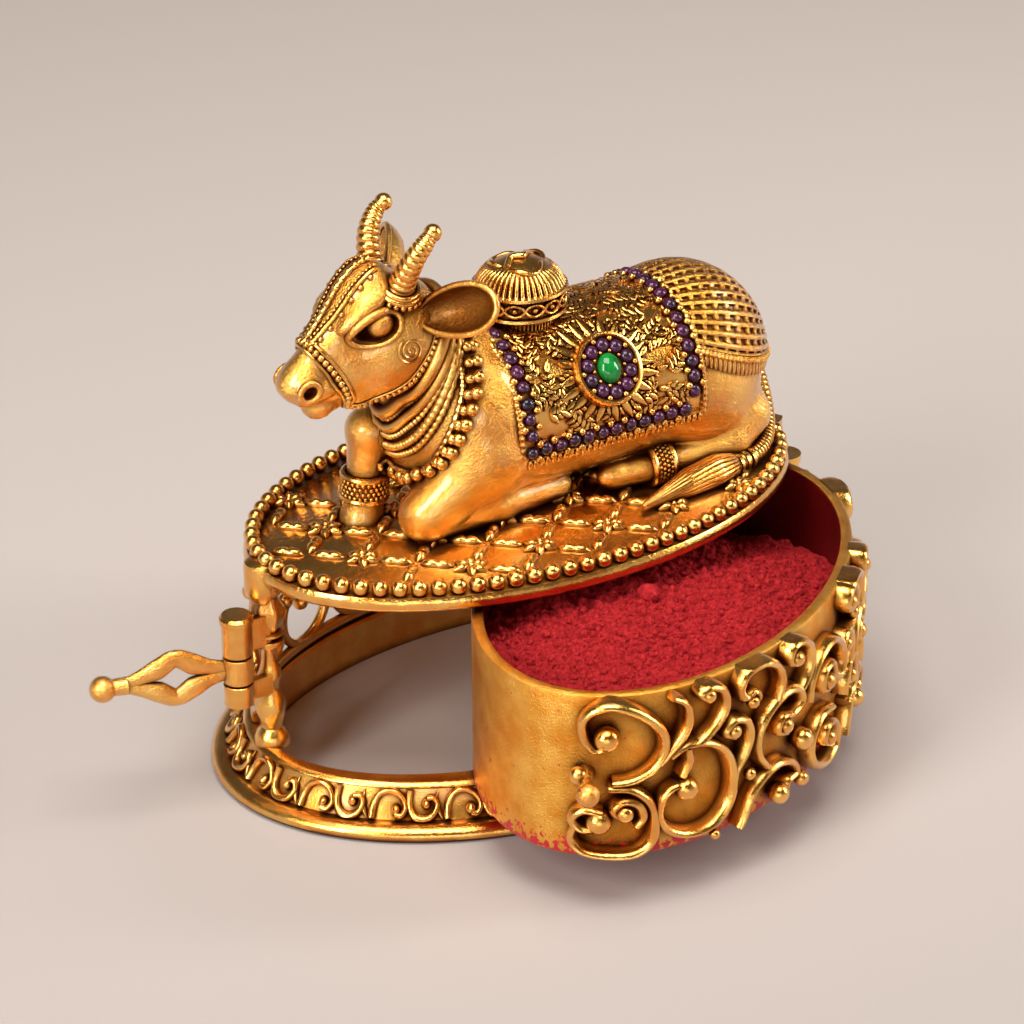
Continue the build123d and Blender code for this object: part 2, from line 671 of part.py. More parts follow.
# Latch lever: knuckle, waved bar, eye and ball tip, drawn along X and turned to its open place
tail_length = LEVER_TIP - EYE_DIST - 2 * LEVER_LAP
bar = Pos(EYE_DIST, 0) * Ellipse(EYE_LONG / 2 + EYE_RIM, EYE_TALL / 2 + EYE_RIM)
bar += Pos((BARREL_R + EYE_DIST) / 2, 0) * Rectangle(EYE_DIST - BARREL_R + LEVER_LAP, LEVER_ARM_W)
bar += Pos((EYE_DIST + LEVER_TIP) / 2 + LEVER_LAP, LEVER_WAVE) * Rectangle(tail_length, LEVER_TAIL_W)
bar -= Pos(EYE_DIST, 0) * Ellipse(EYE_LONG / 2, EYE_TALL / 2)
upright = Plane(origin=(0, 0, LATCH_MID), x_dir=(1, 0, 0), z_dir=(0, -1, 0))
lever = extrude(upright * bar, LEVER_T / 2, both=True)
lever -= post(0, 0, BARREL_R - LEVER_ROOT, 0, FAR)
lever += post(0, 0, BARREL_R, lever_low, lever_high)
lever += Pos(LEVER_TIP, 0, LATCH_MID) * Sphere(LEVER_BALL)
lever -= post(0, 0, PIN_R + PIN_PLAY, 0, FAR)
latch_lever = Pos(LATCH_X, 0, 0) * Rot(0, 0, LEVER_REST) * lever

# Bull: trunk and neck, head, horns and ears
below_deck = block(-FAR, FAR, -FAR, FAR, 0, DECK_TOP)
bull_body = trunk() + neck()
bull_head = head() - bull_body
horn_far = taper(HORN, (0, 1, 0))
horn_far += ball(HORN[-1][0] + HORN_BALL_AT[0], HORN[-1][1], HORN[-1][2] + HORN_BALL_AT[1], HORN_BALL)
horn_left = largest(other_side(horn_far) - bull_head - bull_body)
horn_right = other_side(horn_left)
ear_way = Vector(*EAR_TIP) - Vector(*EAR_BASE)
ear_face = Vector(*EAR_FACE)
across = ear_way.cross(ear_face)
ear_rings = []
cup_rings = []
for part, wide in EAR_WIDTHS:
    spot = Vector(*EAR_BASE) + ear_way * part
    dish = spot + ear_face.normalized() * EAR_CUP
    rim = Ellipse(EAR_W * wide, EAR_T * max(wide, EAR_THIN))
    hollow = Ellipse(EAR_W * wide * EAR_HOLLOW, EAR_T * wide)
    ear_rings.append(Plane(origin=spot, x_dir=across, z_dir=ear_way) * rim)
    cup_rings.append(Plane(origin=dish, x_dir=across, z_dir=ear_way) * hollow)
ear_left = largest(loft(ear_rings) - loft(cup_rings) - bull_head - bull_body)
ear_right = other_side(ear_left)

# Legs and tail
foreleg_raised = largest(limb(RAISED_LEG) - bull_body - below_deck)
foreleg_folded = largest(limb(FOLDED_LEG) + ball(*FOLDED_LEG[-1]) - bull_body - below_deck)
hind_leg_left = ball(*THIGH) + limb(SHANK) + ball(*SHANK[0]) + ball(*SHANK[-1])
hind_leg_left = largest(hind_leg_left - bull_body - below_deck)
hind_leg_right = other_side(hind_leg_left)
tail_path = Spline(*[Vector(*spot) for spot in TAIL])
tail_round = Plane(origin=tail_path @ 0, z_dir=tail_path % 0) * Circle(TAIL_R)
tail = sweep(tail_round, path=tail_path) + taper(TUFT)
tail = largest(tail - trunk(COVER_T) - hind_leg_left - below_deck)

# Hump ornament: a lidded pot on the shoulders
pot_spots = [
    (0, POT_LOW - POT_FOOT_H),
    (POT_FOOT_R, POT_LOW - POT_FOOT_H),
    (POT_FOOT_R, POT_LOW),
]
pot_spots += [(radius, POT_LOW + up) for radius, up in POT_COLLAR]
pot_spots += [(POT_R - inset, POT_LOW + up) for inset, up in POT_STEPS]
pot_spots.append((0, POT_LOW + POT_H))
pot_outline = Polyline(*pot_spots, close=True)
pot_face = make_face(Plane.XZ * pot_outline)
hump_ornament = Pos(POT_X, 0, 0) * revolve(pot_face, Axis.Z, 360)
hump_ornament = hump_ornament - bull_body

# Saddle cloth and rump cover lie on the trunk
cloth_shell = trunk(CLOTH_T) & block(CLOTH_FRONT, CLOTH_REAR, -FAR, FAR, CLOTH_HEM, FAR)
saddle_cloth = cloth_shell - bull_body - hump_ornament - hind_leg_left - hind_leg_right
saddle_cloth = largest(saddle_cloth - foreleg_folded - foreleg_raised)
cover_shell = trunk(COVER_T) & block(CLOTH_REAR, COVER_END, -FAR, FAR, COVER_HEM, FAR)
rump_cover = largest(cover_shell - bull_body - hind_leg_left - hind_leg_right - tail)

# Medallion, its stones and its cabochon on the near flank, then the far ones
up = math.radians(MEDAL_UP)
cloth_r = TRUNK_R + CLOTH_T
medal_out = (0, -math.cos(up), math.sin(up))
medal_at = (MEDAL_X, -cloth_r * math.cos(up), TRUNK_Z + cloth_r * math.sin(up))
medal_plane = Plane(origin=medal_at, x_dir=(1, 0, 0), z_dir=medal_out)
medal_blank = extrude(medal_plane.offset(-MEDAL_ROOT) * Circle(MEDAL_R), MEDAL_ROOT + MEDAL_T)
medallion_left = largest(medal_blank - trunk(CLOTH_T))
medal_face = medal_plane.offset(MEDAL_T)
cabochon_left = extrude(medal_face * Ellipse(CABOCHON_A, CABOCHON_B), CABOCHON_H, taper=CABOCHON_LEAN)
ring_stones = []
for i in range(MEDAL_STONES):
    t = math.radians(360 / MEDAL_STONES * (i + 0.5))
    spot = medal_face * Pos(MEDAL_RING * math.cos(t), MEDAL_RING * math.sin(t), 0)
    ring_stones.append(spot * Cylinder(STONE_R, STONE_H, align=STANDING))
medallion_right = other_side(medallion_left)
cabochon_right = other_side(cabochon_left)
medallion_stones = Compound(children=ring_stones + [other_side(stone) for stone in ring_stones])


def on_cloth(x, turn):
    """Place on the cloth at a distance along the back and an angle down from its ridge."""
    t = math.radians(turn)
    out = (0, -math.sin(t), math.cos(t))
    return Plane(origin=(x, cloth_r * out[1], TRUNK_Z + cloth_r * out[2]), x_dir=(1, 0, 0), z_dir=out)


# Rows of stones along the borders of the cloth
stone = Pos(0, 0, -STONE_SET) * Cylinder(STONE_R, STONE_SET + STONE_PROUD, align=STANDING)
near_stones = []
for i in range(FRONT_ROW_STONES):
    near_stones.append(on_cloth(CLOTH_FRONT + BORDER_IN, FRONT_ROW_FROM + BORDER_STEP * i) * stone)
for i in range(REAR_ROW_STONES):
    near_stones.append(on_cloth(CLOTH_REAR - BORDER_IN, BORDER_STEP * (i + 0.5)) * stone)
for i in range(HEM_ROW_STONES):
    near_stones.append(on_cloth(CLOTH_FRONT + BORDER_IN + HEM_ROW_STEP * i, HEM_ROW_TURN) * stone)
border_stones = Compound(children=near_stones + [other_side(item) for item in near_stones])

# Garlands round the neck, the bead necklace below them and the halter
wearer = bull_body + bull_head + hump_ornament
garlands = []
for x, z, lean in GARLANDS:
    loop = (neck(GARLAND_PROUD) + trunk(GARLAND_PROUD)) & slab(x, z, lean, GARLAND_T)
    garlands.append(largest(loop - wearer - ear_left - ear_right))
neck_garlands = garlands[0].fuse(*garlands[1:]) - saddle_cloth - foreleg_raised - foreleg_folded
bead_necklace = ((neck(NECKLACE_PROUD) + trunk(NECKLACE_PROUD)) & slab(*NECKLACE, NECKLACE_T)) - wearer
bead_necklace = largest(bead_necklace - saddle_cloth - foreleg_folded - foreleg_raised - neck_garlands)
noseband_out = head_point(NOSEBAND, NOSEBAND_UP)
band_plane = Plane(origin=noseband_out, x_dir=(0, 1, 0), z_dir=head_way())
halter = Ellipse(NOSEBAND_W + HALTER_PROUD, NOSEBAND_H + HALTER_PROUD) - Ellipse(NOSEBAND_W, NOSEBAND_H)
halter = extrude(band_plane * halter, HALTER_W)

# Anklets
anklet_raised = post(*RAISED_ANKLET, RAISED_ANKLET_R, *RAISED_ANKLET_Z) - limb(RAISED_LEG) - bull_body
turned = Plane(origin=NEAR_ANKLET, z_dir=Vector(*SHANK[1][:3]) - Vector(*SHANK[2][:3]))
anklet_near = extrude(turned * Circle(NEAR_ANKLET_R), NEAR_ANKLET_W)
anklet_near = largest(anklet_near - hind_leg_left - below_deck - bull_body - tail)
anklets = Compound(children=[anklet_raised, anklet_near, other_side(anklet_near)])

nodes = {
    "base_ring": base_ring,
    "gallery_wall": gallery_wall,
    "latch_post": latch_post,
    "latch_pin": latch_pin,
    "hinge_bracket_low": hinge_low,
    "hinge_bracket_high": hinge_high,
    "hinge_pin": hinge_pin,
    "lid_plate": lid_plate,
    "bead_rim": bead_rim,
    "drawer_bowl": drawer_bowl,
    "drawer_scrollwork": drawer_scrollwork,
    "latch_stud": latch_stud,
    "kumkum_powder": kumkum_powder,
    "latch_lever": latch_lever,
    "bull_body": bull_body,
    "bull_head": bull_head,
    "horn_left": horn_left,
    "horn_right": horn_right,
    "ear_left": ear_left,
    "ear_right": ear_right,
    "foreleg_raised": foreleg_raised,
    "foreleg_folded": foreleg_folded,
    "hind_leg_left": hind_leg_left,
    "hind_leg_right": hind_leg_right,
    "tail": tail,
    "hump_ornament": hump_ornament,
    "saddle_cloth": saddle_cloth,
    "rump_cover": rump_cover,
    "medallion_left": medallion_left,
    "medallion_right": medallion_right,
    "cabochon_left": cabochon_left,
    "cabochon_right": cabochon_right,
    "medallion_stones": medallion_stones,
    "border_stones": border_stones,
    "neck_garlands": neck_garlands,
    "bead_necklace": bead_necklace,
    "halter": halter,
    "anklets": anklets,
}
for name, shape in nodes.items():
    export_step(shape, f"parts/{name}.step")
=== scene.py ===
# %% [markdown]
# A kumkum box: an oval brass casket with a seated bull on its deck and a bowl of red powder that
# swings out at the front. The measured model is loaded first and stays as it is. Every cell below
# then casts one finer piece over it, in millimetres, and hangs that piece on the body it moves with.

# %% Load the measured model
import math

import bmesh
import bpy
import numpy as np
from mathutils import Matrix, Vector


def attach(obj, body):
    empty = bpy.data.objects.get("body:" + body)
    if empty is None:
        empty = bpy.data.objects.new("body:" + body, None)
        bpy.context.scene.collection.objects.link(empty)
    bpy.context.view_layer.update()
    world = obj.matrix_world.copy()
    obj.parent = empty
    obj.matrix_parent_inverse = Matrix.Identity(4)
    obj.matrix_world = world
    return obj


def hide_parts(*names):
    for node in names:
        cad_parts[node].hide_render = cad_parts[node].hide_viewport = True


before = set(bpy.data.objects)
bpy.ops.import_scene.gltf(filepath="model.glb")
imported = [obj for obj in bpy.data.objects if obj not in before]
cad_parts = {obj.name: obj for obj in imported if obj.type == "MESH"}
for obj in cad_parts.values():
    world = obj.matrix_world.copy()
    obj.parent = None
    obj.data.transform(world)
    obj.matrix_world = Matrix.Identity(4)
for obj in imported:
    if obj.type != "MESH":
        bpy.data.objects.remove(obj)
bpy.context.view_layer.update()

MM = 0.001
print("nodes loaded:", len(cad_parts))

# %% [markdown]
# The camera stands where the picture was taken from: in front of the bull's left shoulder, a little
# over 27 degrees above the table, with a long lens so that the oval keeps its shape.

# %% Camera
CAMERA_AT = (-197.6, -310.1, 215.5)
CAMERA_RIGHT = (0.8450, -0.5348, 0.0)
CAMERA_UP = (0.2460, 0.3887, 0.8880)
CAMERA_ROLL = math.radians(-0.312)
LENS = 128.71

right = Vector(CAMERA_RIGHT)
up = Vector(CAMERA_UP)
rolled_right = right * math.cos(CAMERA_ROLL) + up * math.sin(CAMERA_ROLL)
rolled_up = up * math.cos(CAMERA_ROLL) - right * math.sin(CAMERA_ROLL)
toward = rolled_right.cross(rolled_up)
camera_data = bpy.data.cameras.new("camera")
camera_data.lens = LENS
camera_data.sensor_width = 36.0
camera = bpy.data.objects.new("camera", camera_data)
turn = Matrix((rolled_right, rolled_up, toward)).transposed().to_4x4()
camera.matrix_world = Matrix.Translation(Vector(CAMERA_AT) * MM) @ turn
bpy.context.scene.collection.objects.link(camera)
bpy.context.scene.camera = camera
bpy.context.scene.view_settings.view_transform = "Standard"
print("camera lens:", LENS, "mm")

# %% [markdown]
# Polished brass shows what stands round it. Small lamps would leave a hard dot on every bead, so
# the light comes from a few wide soft panels: a broad one overhead towards the viewer, a long one
# on the left, a weaker one on the right, and a faint one low in front for the scrolls of the bowl.

# %% Light panels
def panel(name, place, aim, size, power, tint):
    data = bpy.data.lights.new(name, "AREA")
    data.shape = "RECTANGLE"
    data.size = size[0] * MM
    data.size_y = size[1] * MM
    data.energy = power
    data.color = tint
    lamp = bpy.data.objects.new(name, data)
    lamp.location = Vector(place) * MM
    lamp.rotation_euler = (Vector(aim) - Vector(place)).to_track_quat("-Z", "Y").to_euler()
    bpy.context.scene.collection.objects.link(lamp)


PANELS = [
    ("overhead", (-60, -90, 420), (0, 0, 25), (300, 240), 1.80, (1.0, 0.98, 0.95)),
    ("left_side", (-330, -120, 210), (0, 0, 25), (105, 240), 1.15, (1.0, 0.98, 0.96)),
    ("right_side", (330, -210, 200), (0, 0, 25), (95, 220), 0.90, (1.0, 0.99, 0.97)),
    ("front_low", (-215, -350, 85), (0, 0, 30), (260, 90), 0.24, (1.0, 0.98, 0.96)),
]
for values in PANELS:
    panel(*values)
print("panels:", len(PANELS))

# %% [markdown]
# Round the box stands a backdrop without walls. It is pale for the eye and for reflections, and
# dims overhead like a studio ceiling, so the metal shows bright sides and darker tops. A large bent
# card would do as well, but a painted world has no edge that could show. It throws less light on
# the casket than it shows: only the rays that are seen, mirrored or let through get the paler one.

# %% Rays that show the backdrop
def seen_rays(tree):
    ray = tree.nodes.new("ShaderNodeLightPath")
    mirrored = tree.nodes.new("ShaderNodeMath")
    mirrored.operation = "MAXIMUM"
    tree.links.new(ray.outputs["Is Camera Ray"], mirrored.inputs[0])
    tree.links.new(ray.outputs["Is Glossy Ray"], mirrored.inputs[1])
    let_through = tree.nodes.new("ShaderNodeMath")
    let_through.operation = "MAXIMUM"
    tree.links.new(mirrored.outputs[0], let_through.inputs[0])
    tree.links.new(ray.outputs["Is Transmission Ray"], let_through.inputs[1])
    return let_through.outputs[0]


print("backdrop shows to: seen, mirrored and let-through rays")

# %% Backdrop
BACKDROP = (0.62, 0.55, 0.51, 1.0)
CEILING = (0.10, 0.085, 0.072, 1.0)
BACKDROP_LIGHT = (0.165, 0.138, 0.115, 1.0)
world = bpy.data.worlds.new("room")
world.use_nodes = True
bpy.context.scene.world = world
air = world.node_tree
air.nodes.clear()
bearing = air.nodes.new("ShaderNodeTexCoord")
climb = air.nodes.new("ShaderNodeSeparateXYZ")
air.links.new(bearing.outputs["Generated"], climb.inputs[0])
overhead = air.nodes.new("ShaderNodeMapRange")
overhead.interpolation_type = "SMOOTHSTEP"
overhead.inputs["From Min"].default_value = 0.05
overhead.inputs["From Max"].default_value = 0.38
air.links.new(climb.outputs["Z"], overhead.inputs["Value"])
paint = air.nodes.new("ShaderNodeMix")
paint.data_type = "RGBA"
paint.inputs["A"].default_value = BACKDROP
paint.inputs["B"].default_value = CEILING
air.links.new(overhead.outputs["Result"], paint.inputs["Factor"])
seen = air.nodes.new("ShaderNodeBackground")
air.links.new(paint.outputs["Result"], seen.inputs["Color"])
lit = air.nodes.new("ShaderNodeBackground")
lit.inputs["Color"].default_value = BACKDROP_LIGHT
pick = air.nodes.new("ShaderNodeMixShader")
sky = air.nodes.new("ShaderNodeOutputWorld")
air.links.new(seen_rays(air), pick.inputs[0])
air.links.new(lit.outputs[0], pick.inputs[1])
air.links.new(seen.outputs[0], pick.inputs[2])
air.links.new(pick.outputs[0], sky.inputs["Surface"])
print("backdrop:", BACKDROP[:3], "ceiling:", CEILING[:3])

# %% [markdown]
# A finish in Blender is a small net of nodes. All the finishes here use the same few moves: a
# cloudy noise, a ramp between two colours, a bump, and a mix of two colours. They are written once,
# as a recipe, so that each finish below is only its own numbers.

# %% Recipe for a finish
class Recipe:
    def __init__(self, name):
        self.material = bpy.data.materials.new(name)
        self.material.use_nodes = True
        self.tree = self.material.node_tree
        self.shader = self.tree.nodes["Principled BSDF"]

    def node(self, kind, **values):
        made = self.tree.nodes.new(kind)
        for key, value in values.items():
            setattr(made, key, value)
        return made

    def link(self, out, into):
        self.tree.links.new(out, into)

    def noise(self, scale, detail=4.0, rough=0.6):
        place = self.node("ShaderNodeTexCoord")
        noise = self.node("ShaderNodeTexNoise")
        noise.inputs["Scale"].default_value = scale
        noise.inputs["Detail"].default_value = detail
        noise.inputs["Roughness"].default_value = rough
        self.link(place.outputs["Object"], noise.inputs["Vector"])
        return noise

    def ramp(self, source, low, high, dark, light):
        ramp = self.node("ShaderNodeValToRGB")
        ramp.color_ramp.elements[0].position = low
        ramp.color_ramp.elements[0].color = (*dark, 1.0)
        ramp.color_ramp.elements[1].position = high
        ramp.color_ramp.elements[1].color = (*light, 1.0)
        self.link(source, ramp.inputs["Fac"])
        return ramp

    def bump(self, height, strength, depth):
        bump = self.node("ShaderNodeBump")
        bump.inputs["Strength"].default_value = strength
        bump.inputs["Distance"].default_value = depth
        self.link(height, bump.inputs["Height"])
        self.link(bump.outputs["Normal"], self.shader.inputs["Normal"])

    def mix(self, how, amount, one, two):
        mix = self.node("ShaderNodeMix", data_type="RGBA", blend_type=how)
        if isinstance(amount, float):
            mix.inputs["Factor"].default_value = amount
        else:
            self.link(amount, mix.inputs["Factor"])
        self.link(one, mix.inputs["A"])
        if isinstance(two, tuple):
            mix.inputs["B"].default_value = (*two, 1.0)
        else:
            self.link(two, mix.inputs["B"])
        return mix.outputs["Result"]


print("recipe ready")

# %% [markdown]
# The whole casket is cast brass with an antique finish: bright gold where hands have rubbed it and a
# brown patina left in the hollows. One recipe makes all the golds. It darkens where nearby walls
# close a spot in, so the patina settles by itself into every groove of the relief.

# %% Golds
PATINA = (0.115, 0.042, 0.014)
GOLD_DEEP = (0.83, 0.33, 0.034)
GOLD_PALE = (1.00, 0.575, 0.115)


def make_gold(name, reach, patina_from, patina_to, rough, grain, pace=4200.0):
    gold = Recipe(name)
    tone = gold.noise(260.0, 5.0)
    base = gold.ramp(tone.outputs["Fac"], 0.35, 0.68, GOLD_DEEP, GOLD_PALE)
    hollow = gold.node("ShaderNodeAmbientOcclusion", samples=8)
    hollow.inputs["Distance"].default_value = reach * MM
    stain = gold.ramp(hollow.outputs["AO"], patina_from, patina_to, PATINA, (1.0, 1.0, 1.0))
    colour = gold.mix("MULTIPLY", 1.0, base.outputs["Color"], stain.outputs["Color"])
    gold.link(colour, gold.shader.inputs["Base Color"])
    gold.shader.inputs["Metallic"].default_value = 1.0
    dull = gold.ramp(hollow.outputs["AO"], patina_from, patina_to, (0.55,) * 3, (rough,) * 3)
    gold.link(dull.outputs["Color"], gold.shader.inputs["Roughness"])
    lacquer = gold.ramp(hollow.outputs["AO"], patina_from, patina_to, (0.0,) * 3, (0.9,) * 3)
    gold.link(lacquer.outputs["Color"], gold.shader.inputs["Coat Weight"])
    gold.shader.inputs["Coat Roughness"].default_value = 0.17
    gold.shader.inputs["Coat IOR"].default_value = 1.6
    fine = gold.noise(pace, 3.0)
    gold.bump(fine.outputs["Fac"], grain, 0.0002)
    return gold.material


antique_gold = make_gold("antique_gold", 1.8, 0.46, 0.90, 0.19, 0.25)
smooth_gold = make_gold("smooth_gold", 2.2, 0.46, 0.92, 0.14, 0.75)
chased_gold = make_gold("chased_gold", 0.7, 0.46, 0.88, 0.18, 0.2)
dark_gold = make_gold("dark_gold", 4.0, 0.50, 1.0, 0.24, 0.3)
deck_gold = make_gold("deck_gold", 1.6, 0.38, 0.84, 0.22, 0.55, pace=1100.0)
aged_gold = make_gold("aged_gold", 5.5, 0.60, 1.0, 0.34, 0.6, pace=2200.0)
golds = [antique_gold, smooth_gold, chased_gold, dark_gold, deck_gold, aged_gold]
print("golds:", [gold.name for gold in golds])

# %% [markdown]
# The bowl is the same gold, but the powder has been at it: red dust clings to its foot and is
# sprinkled over its side. The dark red inside is painted shade with a painted reflection of the red
# powder. Dust could be strewn as grains, but grains this fine would only show as colour, so a
# speckled noise mixes the red in, and the same mix lays the painted shade over the lining.

# %% Gold of the bowl
def make_bowl_gold(name, dust_and_shade_from, dust_and_shade_to, foot_dust, shade):
    gold = Recipe(name)
    tone = gold.noise(300.0, 5.0)
    base = gold.ramp(tone.outputs["Fac"], 0.35, 0.68, GOLD_DEEP, GOLD_PALE)
    hollow = gold.node("ShaderNodeAmbientOcclusion", samples=8)
    hollow.inputs["Distance"].default_value = 5.0 * MM
    stain = gold.ramp(hollow.outputs["AO"], 0.46, 0.97, PATINA, (1.0, 1.0, 1.0))
    aged = gold.mix("MULTIPLY", 1.0, base.outputs["Color"], stain.outputs["Color"])
    place = gold.node("ShaderNodeTexCoord")
    split = gold.node("ShaderNodeSeparateXYZ")
    gold.link(place.outputs["Object"], split.inputs[0])
    low = gold.node("ShaderNodeMapRange")
    low.inputs["From Min"].default_value = 5.6 * MM
    low.inputs["From Max"].default_value = 9.0 * MM
    low.inputs["To Min"].default_value = foot_dust
    low.inputs["To Max"].default_value = 0.0
    gold.link(split.outputs["Z"], low.inputs["Value"])
    speck = gold.noise(1300.0, 3.0)
    heap = gold.node("ShaderNodeMath", operation="ADD")
    gold.link(speck.outputs["Fac"], heap.inputs[0])
    gold.link(low.outputs["Result"], heap.inputs[1])
    # On the bowl this mask is real red dust; on the lining it covers the whole wall with painted shade.
    dust_and_shade_mask = gold.ramp(heap.outputs[0], dust_and_shade_from, dust_and_shade_to, (0.0,) * 3, (1.0,) * 3)
    dust_and_painted_shade = gold.mix("MIX", dust_and_shade_mask.outputs["Color"], aged, shade)
    gold.link(dust_and_painted_shade, gold.shader.inputs["Base Color"])
    bare = gold.ramp(heap.outputs[0], dust_and_shade_from, dust_and_shade_to, (1.0,) * 3, (0.15,) * 3)
    gold.link(bare.outputs["Color"], gold.shader.inputs["Metallic"])
    gold.shader.inputs["Roughness"].default_value = 0.34
    fine = gold.noise(4200.0, 3.0)
    gold.bump(fine.outputs["Fac"], 0.7, 0.0002)
    return gold.material


bowl_gold = make_bowl_gold("bowl_gold", 0.68, 0.72, 0.32, (0.55, 0.008, 0.015))
# The lining's dark red is painted shade and a painted reflection of the powder.
lining_painted_shade = make_bowl_gold("lining_painted_shade", 0.05, 0.25, 0.0, (0.105, 0.002, 0.002))
print("bowl golds:", bowl_gold.name, lining_painted_shade.name)

# %% [markdown]
# The small set stones are dull purple, and the larger one on each flank is green. They are opaque,
# with cloudy colour and a thin polish, so glass would look too clear. A cloud between a dark and a
# lighter tone, with a little coat, gives them depth.

# %% Stones
def make_stone(name, dark, light, rough):
    stone = Recipe(name)
    cloud = stone.noise(420.0, 4.0)
    colour = stone.ramp(cloud.outputs["Fac"], 0.35, 0.70, dark, light)
    stone.link(colour.outputs["Color"], stone.shader.inputs["Base Color"])
    stone.shader.inputs["Roughness"].default_value = rough
    stone.shader.inputs["Coat Weight"].default_value = 0.15
    stone.shader.inputs["Coat Roughness"].default_value = 0.12
    stone.bump(cloud.outputs["Fac"], 0.2, 0.0001)
    return stone.material


purple_stone = make_stone("purple_stone", (0.012, 0.008, 0.016), (0.105, 0.008, 0.060), 0.16)
green_stone = make_stone("green_stone", (0.001, 0.045, 0.008), (0.005, 0.25, 0.035), 0.10)
print("stones:", purple_stone.name, green_stone.name)

# %% [markdown]
# Kumkum is a matt, strong red powder. It has no shine at all, so its roughness is high and its
# gloss low, and a coarse noise gives lighter and darker clumps and their bumps.

# %% Red powder
powder = Recipe("kumkum")
clump = powder.noise(1700.0, 8.0, 0.8)
crimson = powder.ramp(clump.outputs["Fac"], 0.34, 0.64, (0.34, 0.006, 0.012), (0.95, 0.050, 0.055))
powder.link(crimson.outputs["Color"], powder.shader.inputs["Base Color"])
powder.shader.inputs["Roughness"].default_value = 0.95
powder.shader.inputs["Specular IOR Level"].default_value = 0.1
powder.bump(clump.outputs["Fac"], 1.0, 0.0009)
kumkum_red = powder.material
print("powder:", kumkum_red.name)

# %% [markdown]
# The floor is a plain pale sheet, painted a little darker towards the viewer and paler away from it:
# painted light that stands in for the lamp light thinning out as the floor recedes. It only has to
# hold the shadow. Far out it melts into the backdrop, so that no horizon cuts through the views
# from low down.

# %% Floor
ground = bpy.data.meshes.new("ground")
REACH = 3000 * MM
corners = [(-REACH, -REACH, 0), (REACH, -REACH, 0), (REACH, REACH, 0), (-REACH, REACH, 0)]
ground.from_pydata(corners, [], [(0, 1, 2, 3)])
floor = bpy.data.objects.new("floor", ground)
bpy.context.scene.collection.objects.link(floor)
print("floor reaches:", REACH, "m")

# %% Colour of the floor
# Painted light: the floor is paler far out to make up for the lamps' light falling off there.
FLOOR_NEAR = (0.405, 0.355, 0.330)
FLOOR_FAR = (0.74, 0.655, 0.605)
VIEW_WAY = (0.537, 0.844, 0.0)
plain = Recipe("pale_ground")
spot = plain.node("ShaderNodeTexCoord")
away = plain.node("ShaderNodeVectorMath", operation="DOT_PRODUCT")
away.inputs[1].default_value = VIEW_WAY
plain.link(spot.outputs["Object"], away.inputs[0])
depth = plain.node("ShaderNodeMapRange")
depth.inputs["From Min"].default_value = -70 * MM
depth.inputs["From Max"].default_value = 250 * MM
plain.link(away.outputs["Value"], depth.inputs["Value"])
shade = plain.ramp(depth.outputs["Result"], 0.0, 1.0, FLOOR_NEAR, FLOOR_FAR)
plain.link(shade.outputs["Color"], plain.shader.inputs["Base Color"])
plain.shader.inputs["Roughness"].default_value = 0.9
print("floor from", FLOOR_NEAR, "to", FLOOR_FAR)

# %% Far floor
reach = plain.node("ShaderNodeVectorMath", operation="LENGTH")
plain.link(spot.outputs["Object"], reach.inputs[0])
fade = plain.node("ShaderNodeMapRange", interpolation_type="SMOOTHSTEP")
fade.inputs["From Min"].default_value = 240 * MM
fade.inputs["From Max"].default_value = 620 * MM
plain.link(reach.outputs["Value"], fade.inputs["Value"])
both = plain.node("ShaderNodeMath", operation="MULTIPLY")
plain.link(fade.outputs["Result"], both.inputs[0])
plain.link(seen_rays(plain.tree), both.inputs[1])
haze = plain.node("ShaderNodeEmission")
haze.inputs["Color"].default_value = BACKDROP
blend = plain.node("ShaderNodeMixShader")
plain.link(both.outputs[0], blend.inputs[0])
plain.link(plain.shader.outputs[0], blend.inputs[1])
plain.link(haze.outputs[0], blend.inputs[2])
plain.link(blend.outputs[0], plain.tree.nodes["Material Output"].inputs["Surface"])
ground.materials.append(plain.material)
print("floor laid")

# %% [markdown]
# Every piece is cast from a mould: a list of points and the faces between them, gathered in
# millimetres. Casting turns the mould into a mesh, smooths it but keeps sharp edges, gives it its
# finish, and hangs it on the body that it moves with, in place of the measured pieces that it
# stands for.

# %% Mould
class Mould:
    def __init__(self):
        self.points = []
        self.faces = []
        self.count = 0

    def add(self, points, faces):
        points = np.asarray(points, float).reshape(-1, 3)
        self.points.append(points)
        self.faces.append(np.asarray(faces) + self.count)
        self.count += len(points)

    def all_points(self):
        return np.concatenate(self.points)


print("mould ready")

# %% Casting
def cast(name, mould, finish, body, slot, *stands_for, points=None, sharp=38.0):
    mesh = bpy.data.meshes.new(name)
    if points is None:
        points = mould.all_points()
    faces = [face for group in mould.faces for face in group.tolist()]
    mesh.from_pydata((points * MM).tolist(), [], faces)
    tidy = bmesh.new()
    tidy.from_mesh(mesh)
    bmesh.ops.recalc_face_normals(tidy, faces=tidy.faces)
    tidy.to_mesh(mesh)
    tidy.free()
    mesh.shade_smooth()
    mesh.set_sharp_from_angle(angle=math.radians(sharp))
    mesh.materials.append(finish)
    piece = bpy.data.objects.new(name, mesh)
    bpy.context.scene.collection.objects.link(piece)
    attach(piece, body)
    if stands_for:
        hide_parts(*stands_for)
    print(name, len(mesh.vertices), "points")
    return piece


print("casting ready")

# %% [markdown]
# The box is oval throughout, and the foot, deck, bowl and wall all follow the oval. A ring takes
# one section round it. For ornament it helps to walk round the oval instead: a place along the
# edge, a height and a distance outwards give a point. Modifiers could bend a straight strip, but a
# walk of equal steps keeps the scrolls even.

